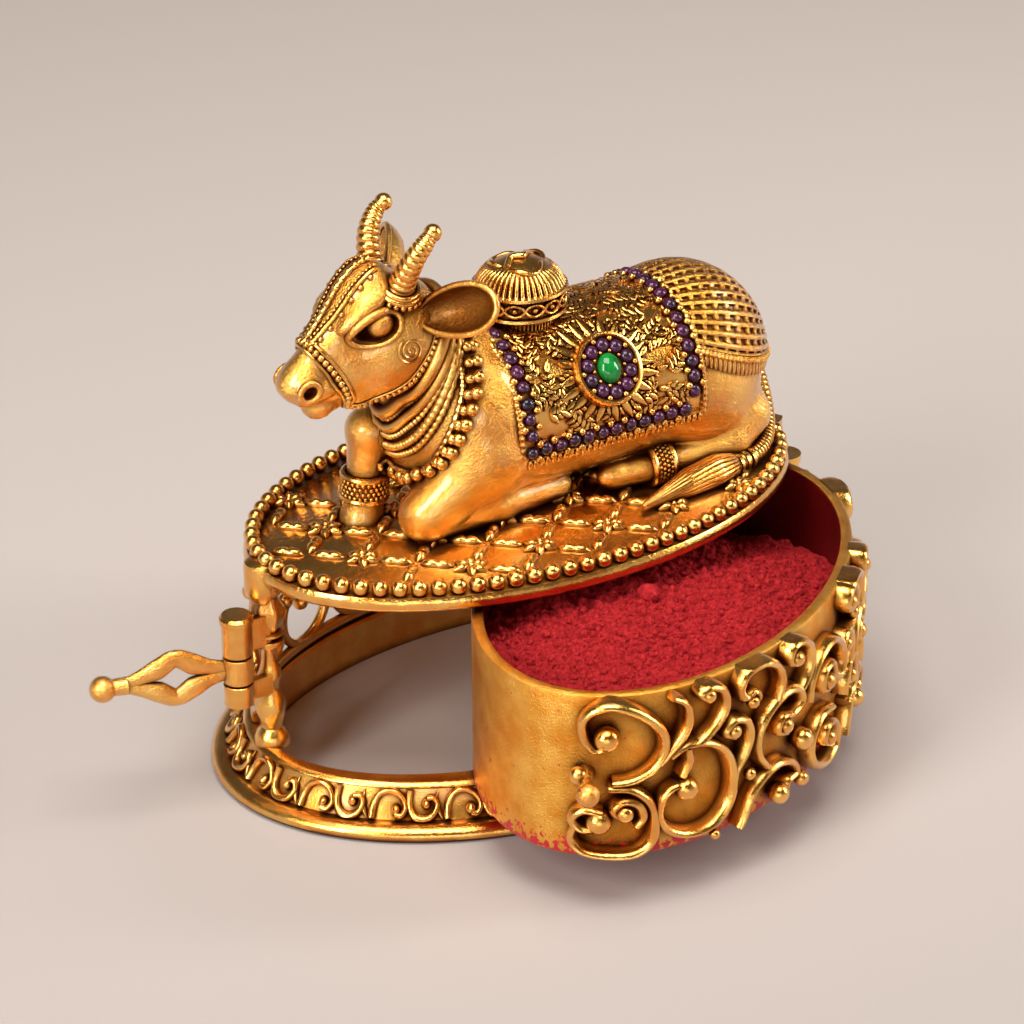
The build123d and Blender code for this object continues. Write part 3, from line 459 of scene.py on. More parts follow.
# %% Following the oval
def weave(rows, columns, ring_rows=False, ring_columns=False):
    row_start = np.arange(rows if ring_rows else rows - 1)
    column_start = np.arange(columns if ring_columns else columns - 1)
    row, column = np.meshgrid(row_start, column_start, indexing="ij")
    next_row = (row + 1) % rows
    next_column = (column + 1) % columns
    corners = [row * columns + column, row * columns + next_column,
               next_row * columns + next_column, next_row * columns + column]
    return np.stack(corners, -1).reshape(-1, 4)


def oval_ring(mould, outline, around=320):
    turn = np.linspace(0, 2 * np.pi, around, endpoint=False)
    outline = np.asarray(outline, float)
    x = outline[:, 0, None] * np.cos(turn)
    y = outline[:, 1, None] * np.sin(turn)
    z = np.broadcast_to(outline[:, 2, None], x.shape)
    mould.add(np.stack([x, y, z], -1), weave(len(outline), around, True, True))


def oval_place(half_x, half_y, start):
    turn = math.radians(start) + np.linspace(0, 2 * np.pi, 3601)
    steps = np.hypot(np.diff(half_x * np.cos(turn)), np.diff(half_y * np.sin(turn)))
    walk = np.concatenate([[0], np.cumsum(steps)])

    def place(along, up, out):
        at = np.interp(along, walk, turn)
        across = np.stack([np.cos(at) / half_x, np.sin(at) / half_y], -1)
        across /= np.linalg.norm(across, axis=-1)[..., None]
        x = half_x * np.cos(at) + across[..., 0] * out
        y = half_y * np.sin(at) + across[..., 1] * out
        return np.stack([x, y, np.broadcast_to(up, x.shape)], -1)

    place.length = walk[-1]
    return place


print("oval ready")

# %% [markdown]
# Cast relief is a line, a leaf or a ball that stands proud of a surface. Each is drawn flat and
# then laid on a surface by that surface's own rule, so the same scroll can sit on the foot, the
# bowl or the pot. Real geometry is used and no bump map, because the edges of this relief show and
# throw shadows.

# %% Raised relief
def smooth_through(stops, count):
    stops = np.asarray(stops, float)
    ends = np.concatenate([[2 * stops[0] - stops[1]], stops, [2 * stops[-1] - stops[-2]]])
    place = np.linspace(0, len(stops) - 1, count)
    start = np.minimum(place.astype(int), len(stops) - 2)
    t = (place - start)[:, None]
    a, b, c, d = ends[start], ends[start + 1], ends[start + 2], ends[start + 3]
    bend = (2 * a - 5 * b + 4 * c - d) * t**2
    twist = (3 * b - a - 3 * c + d) * t**3
    return 0.5 * (2 * b + (c - a) * t + bend + twist)


RIBBON = np.array([(-0.5, 0.0), (-0.5, 0.5), (-0.40, 0.80), (-0.2, 0.96), (0.0, 1.0),
                   (0.2, 0.96), (0.40, 0.80), (0.5, 0.5), (0.5, 0.0)])


def raised_line(mould, path, width, height, place, sink=0.15):
    path = np.asarray(path, float)
    width = np.broadcast_to(np.asarray(width, float), len(path))
    height = np.broadcast_to(np.asarray(height, float), len(path))
    way = np.gradient(path, axis=0)
    way /= np.maximum(np.linalg.norm(way, axis=1), 1e-9)[:, None]
    side = np.stack([-way[:, 1], way[:, 0]], -1)
    across = path[:, None] + side[:, None] * (width[:, None] * RIBBON[None, :, 0])[..., None]
    up = (height[:, None] + sink) * RIBBON[None, :, 1] - sink
    points = place(across[..., 0], across[..., 1], up)
    start = mould.count
    columns = len(RIBBON)
    mould.add(points, weave(len(path), columns))
    mould.faces.append(np.arange(columns)[None, :] + start)
    mould.faces.append(np.arange(columns)[None, :] + start + (len(path) - 1) * columns)


def raised_leaf(mould, base, tip, width, height, place, count=9, bend=0.0):
    base = np.asarray(base, float)
    tip = np.asarray(tip, float)
    t = np.linspace(0, 1, count)
    side = np.array([-(tip - base)[1], (tip - base)[0]])
    path = base + (tip - base) * t[:, None] + side * (bend * np.sin(np.pi * t))[:, None]
    swell = np.sin(np.pi * (0.06 + 0.90 * t) ** 0.8)
    raised_line(mould, path, width * swell + 0.05, height * (0.35 + 0.65 * swell), place)


def raised_ball(mould, spot, radius, height, place, around=12):
    turn = np.linspace(0, 2 * np.pi, around, endpoint=False)
    rise = np.linspace(-0.25, 1, 6) * np.pi / 2
    reach = radius * np.cos(rise)[:, None]
    lift = np.repeat(height * np.sin(rise)[:, None], around, 1)
    points = place(spot[0] + reach * np.cos(turn), spot[1] + reach * np.sin(turn), lift)
    start = mould.count
    mould.add(points, weave(len(rise), around, False, True))
    mould.faces.append(np.arange(around)[None, :] + start)


print("relief section:", len(RIBBON), "points")

# %% [markdown]
# The foot is a cast ring: a plain rounded edge on the table, a sloping frieze and a narrow lip. One
# section is taken round the oval. It could also be a circle scaled to an oval, but then its edge
# would be thinner along the sides.

# %% Foot ring
FOOT = (38.46, 26.56)
LIP = (33.97, 21.81)
LIP_IN = (32.71, 19.67)
LIP_TOP = 5.38
FRIEZE_FOOT = (36.2, 24.2, 1.75)
FRIEZE_HEAD = (34.55, 22.5, 4.75)
foot_ring = Mould()
oval_ring(foot_ring, [
    (LIP_IN[0], LIP_IN[1], 0.0), (FOOT[0] - 0.7, FOOT[1] - 0.7, 0.0), (FOOT[0] - 0.25, FOOT[1] - 0.25, 0.15),
    (FOOT[0], FOOT[1], 0.5), (FOOT[0] - 0.02, FOOT[1] - 0.02, 0.9), (FOOT[0] - 0.2, FOOT[1] - 0.2, 1.25),
    (FOOT[0] - 0.5, FOOT[1] - 0.5, 1.5), (FOOT[0] - 0.95, FOOT[1] - 0.98, 1.68),
    (FOOT[0] - 1.5, FOOT[1] - 1.55, 1.78), (FOOT[0] - 1.85, FOOT[1] - 1.9, 1.68), FRIEZE_FOOT,
    (35.6, 23.55, 2.5), (35.05, 23.0, 3.6), FRIEZE_HEAD,
    (34.65, 22.55, 4.9), (34.45, 22.3, 5.2), (LIP[0], LIP[1], LIP_TOP),
    (LIP_IN[0] + 0.35, LIP_IN[1] + 0.35, LIP_TOP), (LIP_IN[0], LIP_IN[1], LIP_TOP - 0.3)])
lower_edge = oval_place(FRIEZE_FOOT[0], FRIEZE_FOOT[1], 180.0)


def on_frieze(along, up, out):
    rise = (up - FRIEZE_FOOT[2]) / (FRIEZE_HEAD[2] - FRIEZE_FOOT[2])
    sag = 0.30 * np.sin(np.pi * np.clip(rise, 0, 1))
    inward = rise * (FRIEZE_FOOT[0] - FRIEZE_HEAD[0]) + sag
    return lower_edge(along, up + 0.42 * out, 0.9 * out - inward)


print("frieze is", round(lower_edge.length), "mm round")

# %% [markdown]
# On the frieze run scrolls that curl up and down by turns, each round a small ball, with a leaf
# between two pairs. They are raised lines on the slope of the frieze. One pair is drawn and
# repeated by equal steps.

# %% Scrolls of the foot
SCROLL_PAIRS = 23
ARCH = [(0.1, 1.9), (0.25, 3.1), (0.9, 4.15), (2.0, 4.55), (3.2, 4.1), (3.85, 3.0), (3.4, 2.2), (2.7, 2.25)]
CUP = [(4.4, 4.6), (4.25, 3.3), (4.7, 2.2), (5.7, 1.85), (6.8, 2.2), (7.35, 3.1), (7.0, 3.75), (6.3, 3.75)]
thinning = np.linspace(0.85, 0.6, 30)
rising = np.linspace(0.75, 1.0, 30)
pair = lower_edge.length / SCROLL_PAIRS
for i in range(SCROLL_PAIRS):
    start = i * pair
    arch = smooth_through(ARCH, 30) + (start, 0)
    raised_line(foot_ring, arch, thinning, rising, on_frieze)
    raised_ball(foot_ring, (start + 2.75, 2.65), 0.62, 1.0, on_frieze)
    cup = smooth_through(CUP, 30) + (start, 0)
    raised_line(foot_ring, cup, thinning, rising, on_frieze)
    raised_ball(foot_ring, (start + 6.15, 3.2), 0.58, 1.0, on_frieze)
    raised_leaf(foot_ring, (start + 7.9, 1.9), (start + 7.5, 4.5), 0.6, 0.6, on_frieze, bend=0.15)
cast("foot_ring", foot_ring, antique_gold, "frame", "antique_gold", "base_ring")

# %% [markdown]
# The deck is an oval plate with a heavy rounded edge. Its section is taken round the oval as well,
# from the middle of the underside out over the edge and back to the middle of the top.

# %% Deck plate
DECK = (34.0, 20.77)
DECK_LOW = 25.70
DECK_TOP = 27.91
deck = Mould()


def deck_edge(inset, height):
    return (DECK[0] - inset, DECK[1] - inset, height)


oval_ring(deck, [
    (0.02, 0.02, DECK_LOW), deck_edge(1.2, DECK_LOW), deck_edge(0.55, DECK_LOW + 0.12),
    deck_edge(0.12, DECK_LOW + 0.5), deck_edge(0.0, DECK_LOW + 1.0), deck_edge(0.1, DECK_LOW + 1.5),
    deck_edge(0.32, DECK_LOW + 1.85), deck_edge(0.5, DECK_TOP - 0.3), deck_edge(1.9, DECK_TOP - 0.25),
    deck_edge(2.3, DECK_TOP), (0.02, 0.02, DECK_TOP)])
print("deck:", 2 * DECK[0], "x", 2 * DECK[1], "mm")

# %% [markdown]
# The top of the deck carries a lattice: long leaves cross it both ways, and a small flower sits on
# every crossing. The leaves stop short of the beads. On the real box it is cast with the plate, so
# here too it is raised on the plate's own mould. The petals differ a little by chance, as chased
# ones do.

# %% Lattice on the deck
def on_deck(x, y, out):
    return np.stack([x, y, DECK_TOP + out], -1)


FLOWER_FIRST = np.array([-23.7, -12.9])
FLOWER_STEP = np.array([8.9, 8.1])
chance = np.random.default_rng(7)
STEM_WIDE = [0.2, 0.8, 1.1, 1.2, 1.2, 1.05, 1.2, 1.2, 1.1, 0.8, 0.2]
STEM_HIGH = [0.1, 0.5, 0.7, 0.78, 0.78, 0.62, 0.78, 0.78, 0.7, 0.5, 0.1]
PETAL_WIDE = 1.02
PETAL_HIGH = 0.82
inner_x = DECK[0] - 2.6
inner_y = DECK[1] - 2.6


def inside_beads(spot):
    return (spot[0] / inner_x) ** 2 + (spot[1] / inner_y) ** 2 < 1


flowers = 0
for row in range(4):
    for column in range(-1, 7):
        middle = FLOWER_FIRST + FLOWER_STEP * (column, row)
        for slant in (-1, 1):
            for hand in (-1, 1):
                way = FLOWER_STEP * (hand, slant) / np.linalg.norm(FLOWER_STEP)
                stem = [middle + way * 1.9, middle + way * 5.6]
                if inside_beads(stem[0]) and inside_beads(stem[1]):
                    path = stem[0] + (stem[1] - stem[0]) * np.linspace(0, 1, 11)[:, None]
                    raised_line(deck, path, STEM_WIDE, STEM_HIGH, on_deck)
        if not inside_beads(middle):
            continue
        flowers += 1
        for petal in range(6):
            turn = math.radians(60 * petal + chance.uniform(-6, 6))
            way = np.array([math.cos(turn), math.sin(turn)])
            tip = middle + way * chance.uniform(1.8, 2.1)
            raised_leaf(deck, middle + way * 0.3, tip, PETAL_WIDE, PETAL_HIGH, on_deck)
        raised_ball(deck, middle, 0.42, 0.75, on_deck)
cast("deck_plate", deck, deck_gold, "frame", "antique_gold", "lid_plate")
print("flowers:", flowers)

# %% [markdown]
# Balls are everywhere on this box: beads on the deck, grains between the stones, the tips of the
# horns. A ball is drawn in rings between two poles, and can be stretched and turned to any
# direction, since no two cast beads are quite alike.

# %% Balls
def frame_of(way):
    way = np.asarray(way, float)
    way = way / np.linalg.norm(way)
    helper = np.array([0.0, 0.0, 1.0]) if abs(way[2]) < 0.9 else np.array([1.0, 0.0, 0.0])
    side = np.cross(helper, way)
    side /= np.linalg.norm(side)
    return side, np.cross(way, side), way


def ball(mould, centre, radius, way=(0, 0, 1), stretch=(1, 1, 1), around=16, tall=9):
    turn = np.linspace(0, 2 * np.pi, around, endpoint=False)
    rise = np.linspace(0, np.pi, tall)[1:-1]
    ring = np.stack([np.outer(np.sin(rise), np.cos(turn)), np.outer(np.sin(rise), np.sin(turn)),
                     np.outer(np.cos(rise), np.ones(around))], -1).reshape(-1, 3)
    ring = np.concatenate([ring, [[0, 0, 1], [0, 0, -1]]]) * radius * np.asarray(stretch)
    rows = len(rise)
    top = rows * around
    index = np.arange(around)
    after = (index + 1) % around
    last = (rows - 1) * around
    lids = [np.stack([index, after, np.full(around, top)], -1),
            np.stack([last + index, last + after, np.full(around, top + 1)], -1)]
    points = ring @ np.stack(frame_of(way)) + np.asarray(centre, float)
    start = mould.count
    mould.add(points, weave(rows, around, False, True))
    mould.faces.append(np.concatenate(lids) + start)


print("balls ready")

# %% [markdown]
# A row of beads runs round the deck, just inside its edge, and leaves room for the hinge strap. An
# array along a curve could set them. Walking round the oval by equal steps does the same and keeps
# their gaps equal at the narrow ends.

# %% Beads round the deck
BEADS = 80
bead_row = oval_place(DECK[0] - 1.05, DECK[1] - 1.05, 0.0)
beads = Mould()
STRAP_GAP = (DECK[0] - 1.9, 3.2)
for i in range(BEADS):
    spot = bead_row(np.array(i * bead_row.length / BEADS), 0.0, np.array(0.0))
    if spot[0] > STRAP_GAP[0] and abs(spot[1]) < STRAP_GAP[1]:
        continue
    ball(beads, (spot[0], spot[1], DECK_TOP + 0.55), 0.93, around=20, tall=13)
cast("deck_beads", beads, antique_gold, "frame", "antique_gold", "bead_rim")

# %% [markdown]
# Hinge knuckles, the pot and the latch post are round about an axis, like work from a lathe. A
# turned form takes an outline of radius and height round that axis. Waves on the radius then make
# flutes and lobes, which a lathe alone could not cut.

# %% Turned forms
def turned(mould, outline, centre, way=(0, 0, 1), around=48, ripple=None):
    outline = np.asarray(outline, float)
    turn = np.linspace(0, 2 * np.pi, around, endpoint=False)
    radius = np.repeat(outline[:, 0, None], around, 1)
    if ripple is not None:
        radius = radius * ripple(outline[:, 1, None], turn[None, :])
    side, other, axis = frame_of(way)
    points = (np.asarray(centre, float) + radius[..., None] * (np.cos(turn)[:, None] * side
              + np.sin(turn)[:, None] * other) + outline[:, 1, None, None] * axis)
    start = mould.count
    mould.add(points, weave(len(outline), around, False, True))
    mould.faces.append(np.arange(around)[None, :] + start)
    mould.faces.append(np.arange(around)[None, :] + start + (len(outline) - 1) * around)


print("turned forms ready")

# %% [markdown]
# The bowl is a thin oval cup. It is drawn shut, under the deck, and then turned about the hinge pin
# to the place where the model holds it, so the same numbers serve the open and the shut bowl.

# %% Bowl
HINGE_X = 36.9
OPEN_TURN = math.radians(32.8)
BOWL = (29.97, 18.85)
BOWL_LOW = 5.68
BOWL_TOP = 25.40
WALL = 1.35


def swung(points):
    points = np.asarray(points, float)
    x = points[..., 0] - HINGE_X
    y = points[..., 1]
    turned_x = HINGE_X + x * math.cos(OPEN_TURN) - y * math.sin(OPEN_TURN)
    turned_y = x * math.sin(OPEN_TURN) + y * math.cos(OPEN_TURN)
    return np.stack([turned_x, turned_y, points[..., 2]], -1)


def wall_at(inset, z):
    return (BOWL[0] - inset, BOWL[1] - inset, z)


bowl = Mould()
outside = [wall_at(BOWL[0] - 0.02, BOWL_LOW), wall_at(0.8, BOWL_LOW), wall_at(0.25, BOWL_LOW + 0.15),
           wall_at(0.0, BOWL_LOW + 0.6)]
outside += [wall_at(0.0, z) for z in np.linspace(BOWL_LOW + 2, BOWL_TOP - 0.5, 6)]
outside += [wall_at(0.1, BOWL_TOP - 0.15), wall_at(0.35, BOWL_TOP), wall_at(WALL - 0.3, BOWL_TOP),
            wall_at(WALL - 0.06, BOWL_TOP - 0.12)]
outside += [wall_at(WALL - 0.05, BOWL_TOP - 0.4), wall_at(WALL - 0.05, BOWL_LOW + 0.9)]
oval_ring(bowl, outside, around=360)
KNUCKLE = (10.85, 17.75)
turned(bowl, [(0.85, KNUCKLE[0]), (1.55, KNUCKLE[0]), (1.7, KNUCKLE[0] + 0.15), (1.7, KNUCKLE[1] - 0.15),
              (1.55, KNUCKLE[1]), (0.85, KNUCKLE[1])], (HINGE_X, 0, 0), around=40)
BLOCK_FACES = [(0, 1, 3, 2), (4, 6, 7, 5), (0, 4, 5, 1), (2, 3, 7, 6), (0, 2, 6, 4), (1, 5, 7, 3)]
arm_x = (BOWL[0] - 1.0, HINGE_X - 0.9)
arm = [(x, y, z) for x in arm_x for y in (-1.0, 1.0) for z in KNUCKLE]
bowl.add(arm, BLOCK_FACES)
cast("bowl", bowl, bowl_gold, "drawer", "satin_gold", "drawer_bowl", points=swung(bowl.all_points()))

# %% [markdown]
# Inside, the wall is painted dark red: painted shade, with a painted reflection of the red powder.
# The lining is a second thin cup just within the first, so that it can have this painted colour of
# its own and the rim stays bright.

# %% Lining of the bowl
lining = Mould()
inside = [wall_at(WALL - 0.04, BOWL_TOP - 0.3), wall_at(WALL, BOWL_TOP - 0.3)]
inside += [wall_at(WALL, z) for z in np.linspace(BOWL_TOP - 2, BOWL_LOW + 2.2, 6)]
inside += [wall_at(WALL + 0.8, BOWL_LOW + 1.35), wall_at(BOWL[0] - 0.02, BOWL_LOW + 1.3),
           wall_at(BOWL[0] - 0.02, BOWL_LOW + 1.0), wall_at(WALL - 0.04, BOWL_LOW + 1.0)]
oval_ring(lining, inside, around=360)
cast("bowl_lining", lining, lining_painted_shade, "drawer", "satin_gold", points=swung(lining.all_points()))

# %% [markdown]
# The front of the bowl carries thick scrolls cast on the wall. Each is drawn flat, with its distance
# along the wall from the latch end and its height, then raised nearly two millimetres. Balls sit in
# the eyes of the scrolls. A drawing can be followed scroll by scroll, which a pattern could not do.

# %% Scrolls, drawn flat
FRONT_SCROLLS = [
    [(5.9, 20.3), (4.6, 19.6), (3.5, 20.9), (3.3, 22.9), (4.5, 24.4), (6.6, 24.7), (9.2, 23.4),
     (11.1, 21.2), (11.4, 18.9), (10.2, 16.9), (8.2, 15.8), (6.2, 15.6)],
    [(12.2, 25.0), (13.6, 23.9), (14.0, 21.9), (13.2, 20.0), (11.9, 18.6), (10.9, 17.4)],
    [(15.9, 23.9), (15.3, 24.6), (16.4, 25.0), (17.9, 24.3), (18.5, 22.6), (17.8, 20.9),
     (16.4, 19.5), (14.9, 18.7)],
    [(14.2, 13.0), (12.9, 14.3), (11.4, 13.3), (10.9, 11.0), (12.0, 9.0), (14.4, 7.9), (17.2, 8.2),
     (19.2, 10.2), (19.7, 13.2), (18.8, 16.2), (16.6, 18.3), (13.8, 18.9), (12.0, 18.0)],
    [(13.9, 18.6), (14.1, 16.9), (13.3, 15.3)],
    [(4.9, 10.2), (3.2, 10.0), (2.3, 11.2), (3.4, 12.3), (5.2, 12.0)],
    [(2.6, 10.4), (2.2, 8.6), (3.4, 7.2), (6.0, 6.7), (8.6, 6.8), (10.2, 8.2), (10.5, 10.6),
     (9.8, 13.0), (8.0, 14.7), (5.8, 15.0)],
    [(7.4, 11.2), (6.3, 12.2), (7.2, 13.3), (8.7, 12.9), (9.3, 11.4), (8.6, 10.2)],
    [(19.5, 18.0), (18.4, 18.9), (19.6, 19.9), (21.3, 19.2), (21.9, 17.3), (21.2, 15.3),
     (20.0, 13.7), (19.7, 12.2)],
    [(22.0, 20.9), (22.9, 21.6), (22.3, 22.4), (20.9, 22.2), (20.4, 23.6), (21.5, 25.0),
     (23.9, 25.1), (26.0, 23.8), (26.8, 21.8), (26.0, 19.7)],
    [(29.2, 22.6), (28.0, 23.5), (28.6, 24.9), (30.4, 24.8), (32.0, 23.6), (32.4, 21.8),
     (31.6, 20.0), (30.2, 18.9)],
    [(27.6, 15.0), (26.2, 15.8), (27.0, 17.2), (29.0, 16.8), (30.6, 17.6), (29.9, 19.2),
     (27.6, 19.9), (25.0, 19.0), (23.3, 16.9), (23.3, 14.3), (24.6, 12.2)],
    [(26.6, 7.9), (27.8, 7.2), (28.2, 8.6), (29.9, 9.0), (29.0, 10.6), (26.6, 11.6), (24.0, 11.0),
     (22.2, 9.4), (21.2, 7.2), (20.6, 6.3)],
    [(36.4, 15.9), (35.2, 16.6), (35.6, 18.4), (37.6, 18.6), (38.6, 16.8), (40.2, 15.6),
     (41.3, 17.4), (40.2, 19.8), (37.4, 21.4), (34.4, 20.8), (32.6, 18.9), (32.2, 16.6)],
    [(37.6, 8.6), (36.2, 9.4), (36.8, 10.9), (38.8, 10.6), (40.0, 8.8), (39.4, 7.0), (36.6, 6.5),
     (34.2, 7.6), (33.0, 9.8), (33.6, 12.0), (35.6, 13.2), (38.2, 12.8)],
    [(43.2, 22.6), (42.0, 23.4), (42.8, 24.7), (44.8, 24.4), (45.8, 22.6), (44.8, 20.6),
     (42.4, 19.9)],
    [(44.4, 12.6), (43.0, 13.6), (43.6, 15.4), (45.8, 15.4), (46.8, 13.4), (46.0, 11.0),
     (43.6, 10.2)],
]
REPEATS = (22.4, 44.0)
for shift in REPEATS:
    for source in (8, 9, 10, 11, 12, 13, 14):
        moved = np.asarray(FRONT_SCROLLS[source], float) + (shift, 0)
        if moved[:, 0].max() < 76.0:
            FRONT_SCROLLS.append(moved)
print("scrolls drawn:", len(FRONT_SCROLLS))

# %% Balls in the scrolls
FRONT_BALLS = [(5.6, 20.9, 1.4), (13.9, 13.6, 1.35), (16.2, 24.2, 0.8), (4.9, 10.9, 1.45), (7.4, 11.9, 1.0),
               (19.5, 18.7, 0.85), (22.0, 21.3, 0.75), (29.2, 23.3, 0.95), (27.5, 15.9, 1.0),
               (27.0, 7.6, 1.2), (36.5, 16.9, 1.1), (31.2, 12.4, 1.3), (37.4, 9.3, 1.0),
               (43.2, 23.2, 0.9), (44.4, 13.4, 1.0), (2.9, 16.5, 1.0), (21.8, 12.6, 0.7),
               (17.2, 7.0, 0.6), (31.0, 7.6, 0.9)]
for shift in REPEATS:
    for source in FRONT_BALLS[5:11]:
        if source[0] + shift < 74.0:
            FRONT_BALLS.append((source[0] + shift, source[1], source[2]))
print("balls drawn:", len(FRONT_BALLS))

# %% Scrolls cast on the bowl
on_bowl = oval_place(BOWL[0], BOWL[1], 180.0)
scrolls = Mould()
SCROLL_WIDE = 1.15
SCROLL_HIGH = 1.85
SCROLL_TOP = 25.45
for stops in FRONT_SCROLLS:
    count = 6 * len(stops)
    path = smooth_through(stops, count)
    width = SCROLL_WIDE * np.interp(np.arange(count) / count, [0, 0.15, 0.6, 1], [0.75, 0.9, 1.1, 0.8])
    raised_line(scrolls, path, width, SCROLL_HIGH, on_bowl, sink=0.4)
for along, up, size in FRONT_BALLS:
    spot = on_bowl(np.array(along), np.array(up), np.array(SCROLL_HIGH - size * 0.6))
    foot = on_bowl(np.array(along), np.array(up), np.array(0.0))
    ball(scrolls, spot, size, way=spot - foot + 1e-9, around=20, tall=13)
scroll_points = scrolls.all_points()
scroll_points[:, 2] = np.minimum(scroll_points[:, 2], SCROLL_TOP)
cast("bowl_scrolls", scrolls, antique_gold, "drawer", "antique_gold", "drawer_scrollwork",
     points=swung(scroll_points))

# %% [markdown]
# Kumkum is a fine powder that heaps where it is pressed. A grid of points over the bowl follows the
# smooth heap of the model, and layers of small waves break it into lumps. Loose crumbs are then
# strewn over it. A displaced sheet alone would look like cloth, since it can't overhang.

# %% Heap of powder
def lumps(x, y, size, seed):
    mixer = np.random.default_rng(seed)
    total = np.zeros_like(x)
    for _ in range(14):
        turn = mixer.uniform(0, 2 * np.pi)
        pace = mixer.uniform(0.7, 1.5) * 2 * np.pi / size
        total += np.sin((x * np.cos(turn) + y * np.sin(turn)) * pace + mixer.uniform(0, 6.3))
    return total / 14


HEAP_TOP = 23.35
HEAP_ROUND = 95.0
HEAP_FOOT = 12.0
heap = Mould()
rings = 300
spokes = 800
turn = np.linspace(0, 2 * np.pi, spokes, endpoint=False)
part = np.sqrt(np.linspace(0.00001, 1, rings))[:, None]
x = part * (BOWL[0] - WALL - 0.03) * np.cos(turn)
y = part * (BOWL[1] - WALL - 0.03) * np.sin(turn)
fall = HEAP_ROUND - np.sqrt(HEAP_ROUND**2 - (x + 10.0) ** 2 - (y + 5.0) ** 2)
crumble = 0.70 * lumps(x, y, 9.0, 1) + 0.70 * lumps(x, y, 3.4, 2) + 0.60 * lumps(x, y, 1.7, 3)
crumble += 0.45 * np.abs(lumps(x, y, 1.0, 4)) * (0.8 + lumps(x, y, 5.0, 5)) + 0.24 * lumps(x, y, 0.55, 6)
top = HEAP_TOP - fall + crumble * (1 - 0.4 * part**6)
heap.add(np.stack([x, y, top], -1), weave(rings, spokes, False, True))
ball(heap, (-3.5, 0.5, 23.6), 1.3, stretch=(1, 0.9, 0.8), around=24, tall=15)
print("heap rises", round(float(np.ptp(top)), 1), "mm")

# %% Crumbs
crumbs = np.random.default_rng(5)
for _ in range(5200):
    at_turn = crumbs.uniform(0, 2 * np.pi)
    at_part = math.sqrt(crumbs.uniform(0, 0.93))
    ring_at = int(at_part**2 * (rings - 1))
    spoke_at = int(at_turn / (2 * np.pi) * spokes)
    size = 0.13 + 0.42 * crumbs.uniform() ** 5
    spot = (x[ring_at, spoke_at], y[ring_at, spoke_at], top[ring_at, spoke_at] + 0.25 * size)
    way = crumbs.normal(size=3)
    ball(heap, spot, size, way=way, stretch=crumbs.uniform(0.55, 1.3, 3), around=6, tall=5)
low = np.stack([x[-1], y[-1], np.full(spokes, HEAP_FOOT)], -1)
heap.add(np.concatenate([np.stack([x[-1], y[-1], top[-1]], -1), low]), weave(2, spokes, False, True))
cast("powder_heap", heap, kumkum_red, "drawer", "kumkum", "kumkum_powder",
     points=swung(heap.all_points()), sharp=180.0)

# %% [markdown]
# Cords, rims, ropes and levers are all bent wires of changing thickness. A curve with a bevel would
# do the same. Here the section is carried along the path by hand, so that it can be flattened and
# turned to face outwards.

# %% Bent wire
def wire(mould, path, radius, around=10, closed=False, flat=1.0, rise=None):
    path = np.asarray(path, float)
    radius = np.broadcast_to(np.asarray(radius, float), len(path))
    if closed:
        way = np.roll(path, -1, 0) - np.roll(path, 1, 0)
    else:
        way = np.gradient(path, axis=0)
    way /= np.linalg.norm(way, axis=1)[:, None]
    side = np.zeros_like(path)
    last = frame_of(way[0])[0]
    for i in range(len(path)):
        if rise is not None:
            last = np.cross(way[i], rise[i])
        last = last - way[i] * np.dot(last, way[i])
        last = last / np.linalg.norm(last)
        side[i] = last
    lift = np.cross(side, way)
    turn = np.linspace(0, 2 * np.pi, around, endpoint=False)
    rings = (path[:, None] + radius[:, None, None] * (np.cos(turn)[None, :, None] * side[:, None]
             + flat * np.sin(turn)[None, :, None] * lift[:, None]))
    start = mould.count
    mould.add(rings, weave(len(path), around, closed, True))
    if not closed:
        mould.faces.append(np.arange(around)[None, :] + start)
        mould.faces.append(np.arange(around)[None, :] + start + (len(path) - 1) * around)


print("wire ready")

# %% [markdown]
# Near the latch end a stud stands out of the bowl. When the bowl is shut, the eye of the latch drops
# over its round head. It is a short tapering wire with a ball, drawn with the bowl shut as well.

# %% Stud
stud = Mould()
STUD = np.array([-33.49, -5.46, 16.2])
STUD_ROOT = np.array([-29.3, -3.4, 16.2])
stem = smooth_through([STUD, STUD_ROOT], 12)
wire(stud, stem, np.interp(np.arange(12), [0, 6, 11], [0.6, 0.62, 1.0]), around=16)
ball(stud, STUD, 1.3, around=28, tall=17)
cast("stud_head", stud, smooth_gold, "drawer", "antique_gold", "latch_stud",
     points=swung(stud.all_points()))

# %% [markdown]
# The bull is modelled like clay. A block of small cells holds, for each cell, how far it lies from the
# surface. Eggs and tapering bars are pressed into it one after another, each melting into what is
# there, and dents are pressed out. In the end a skin is drawn where the distance is nought.

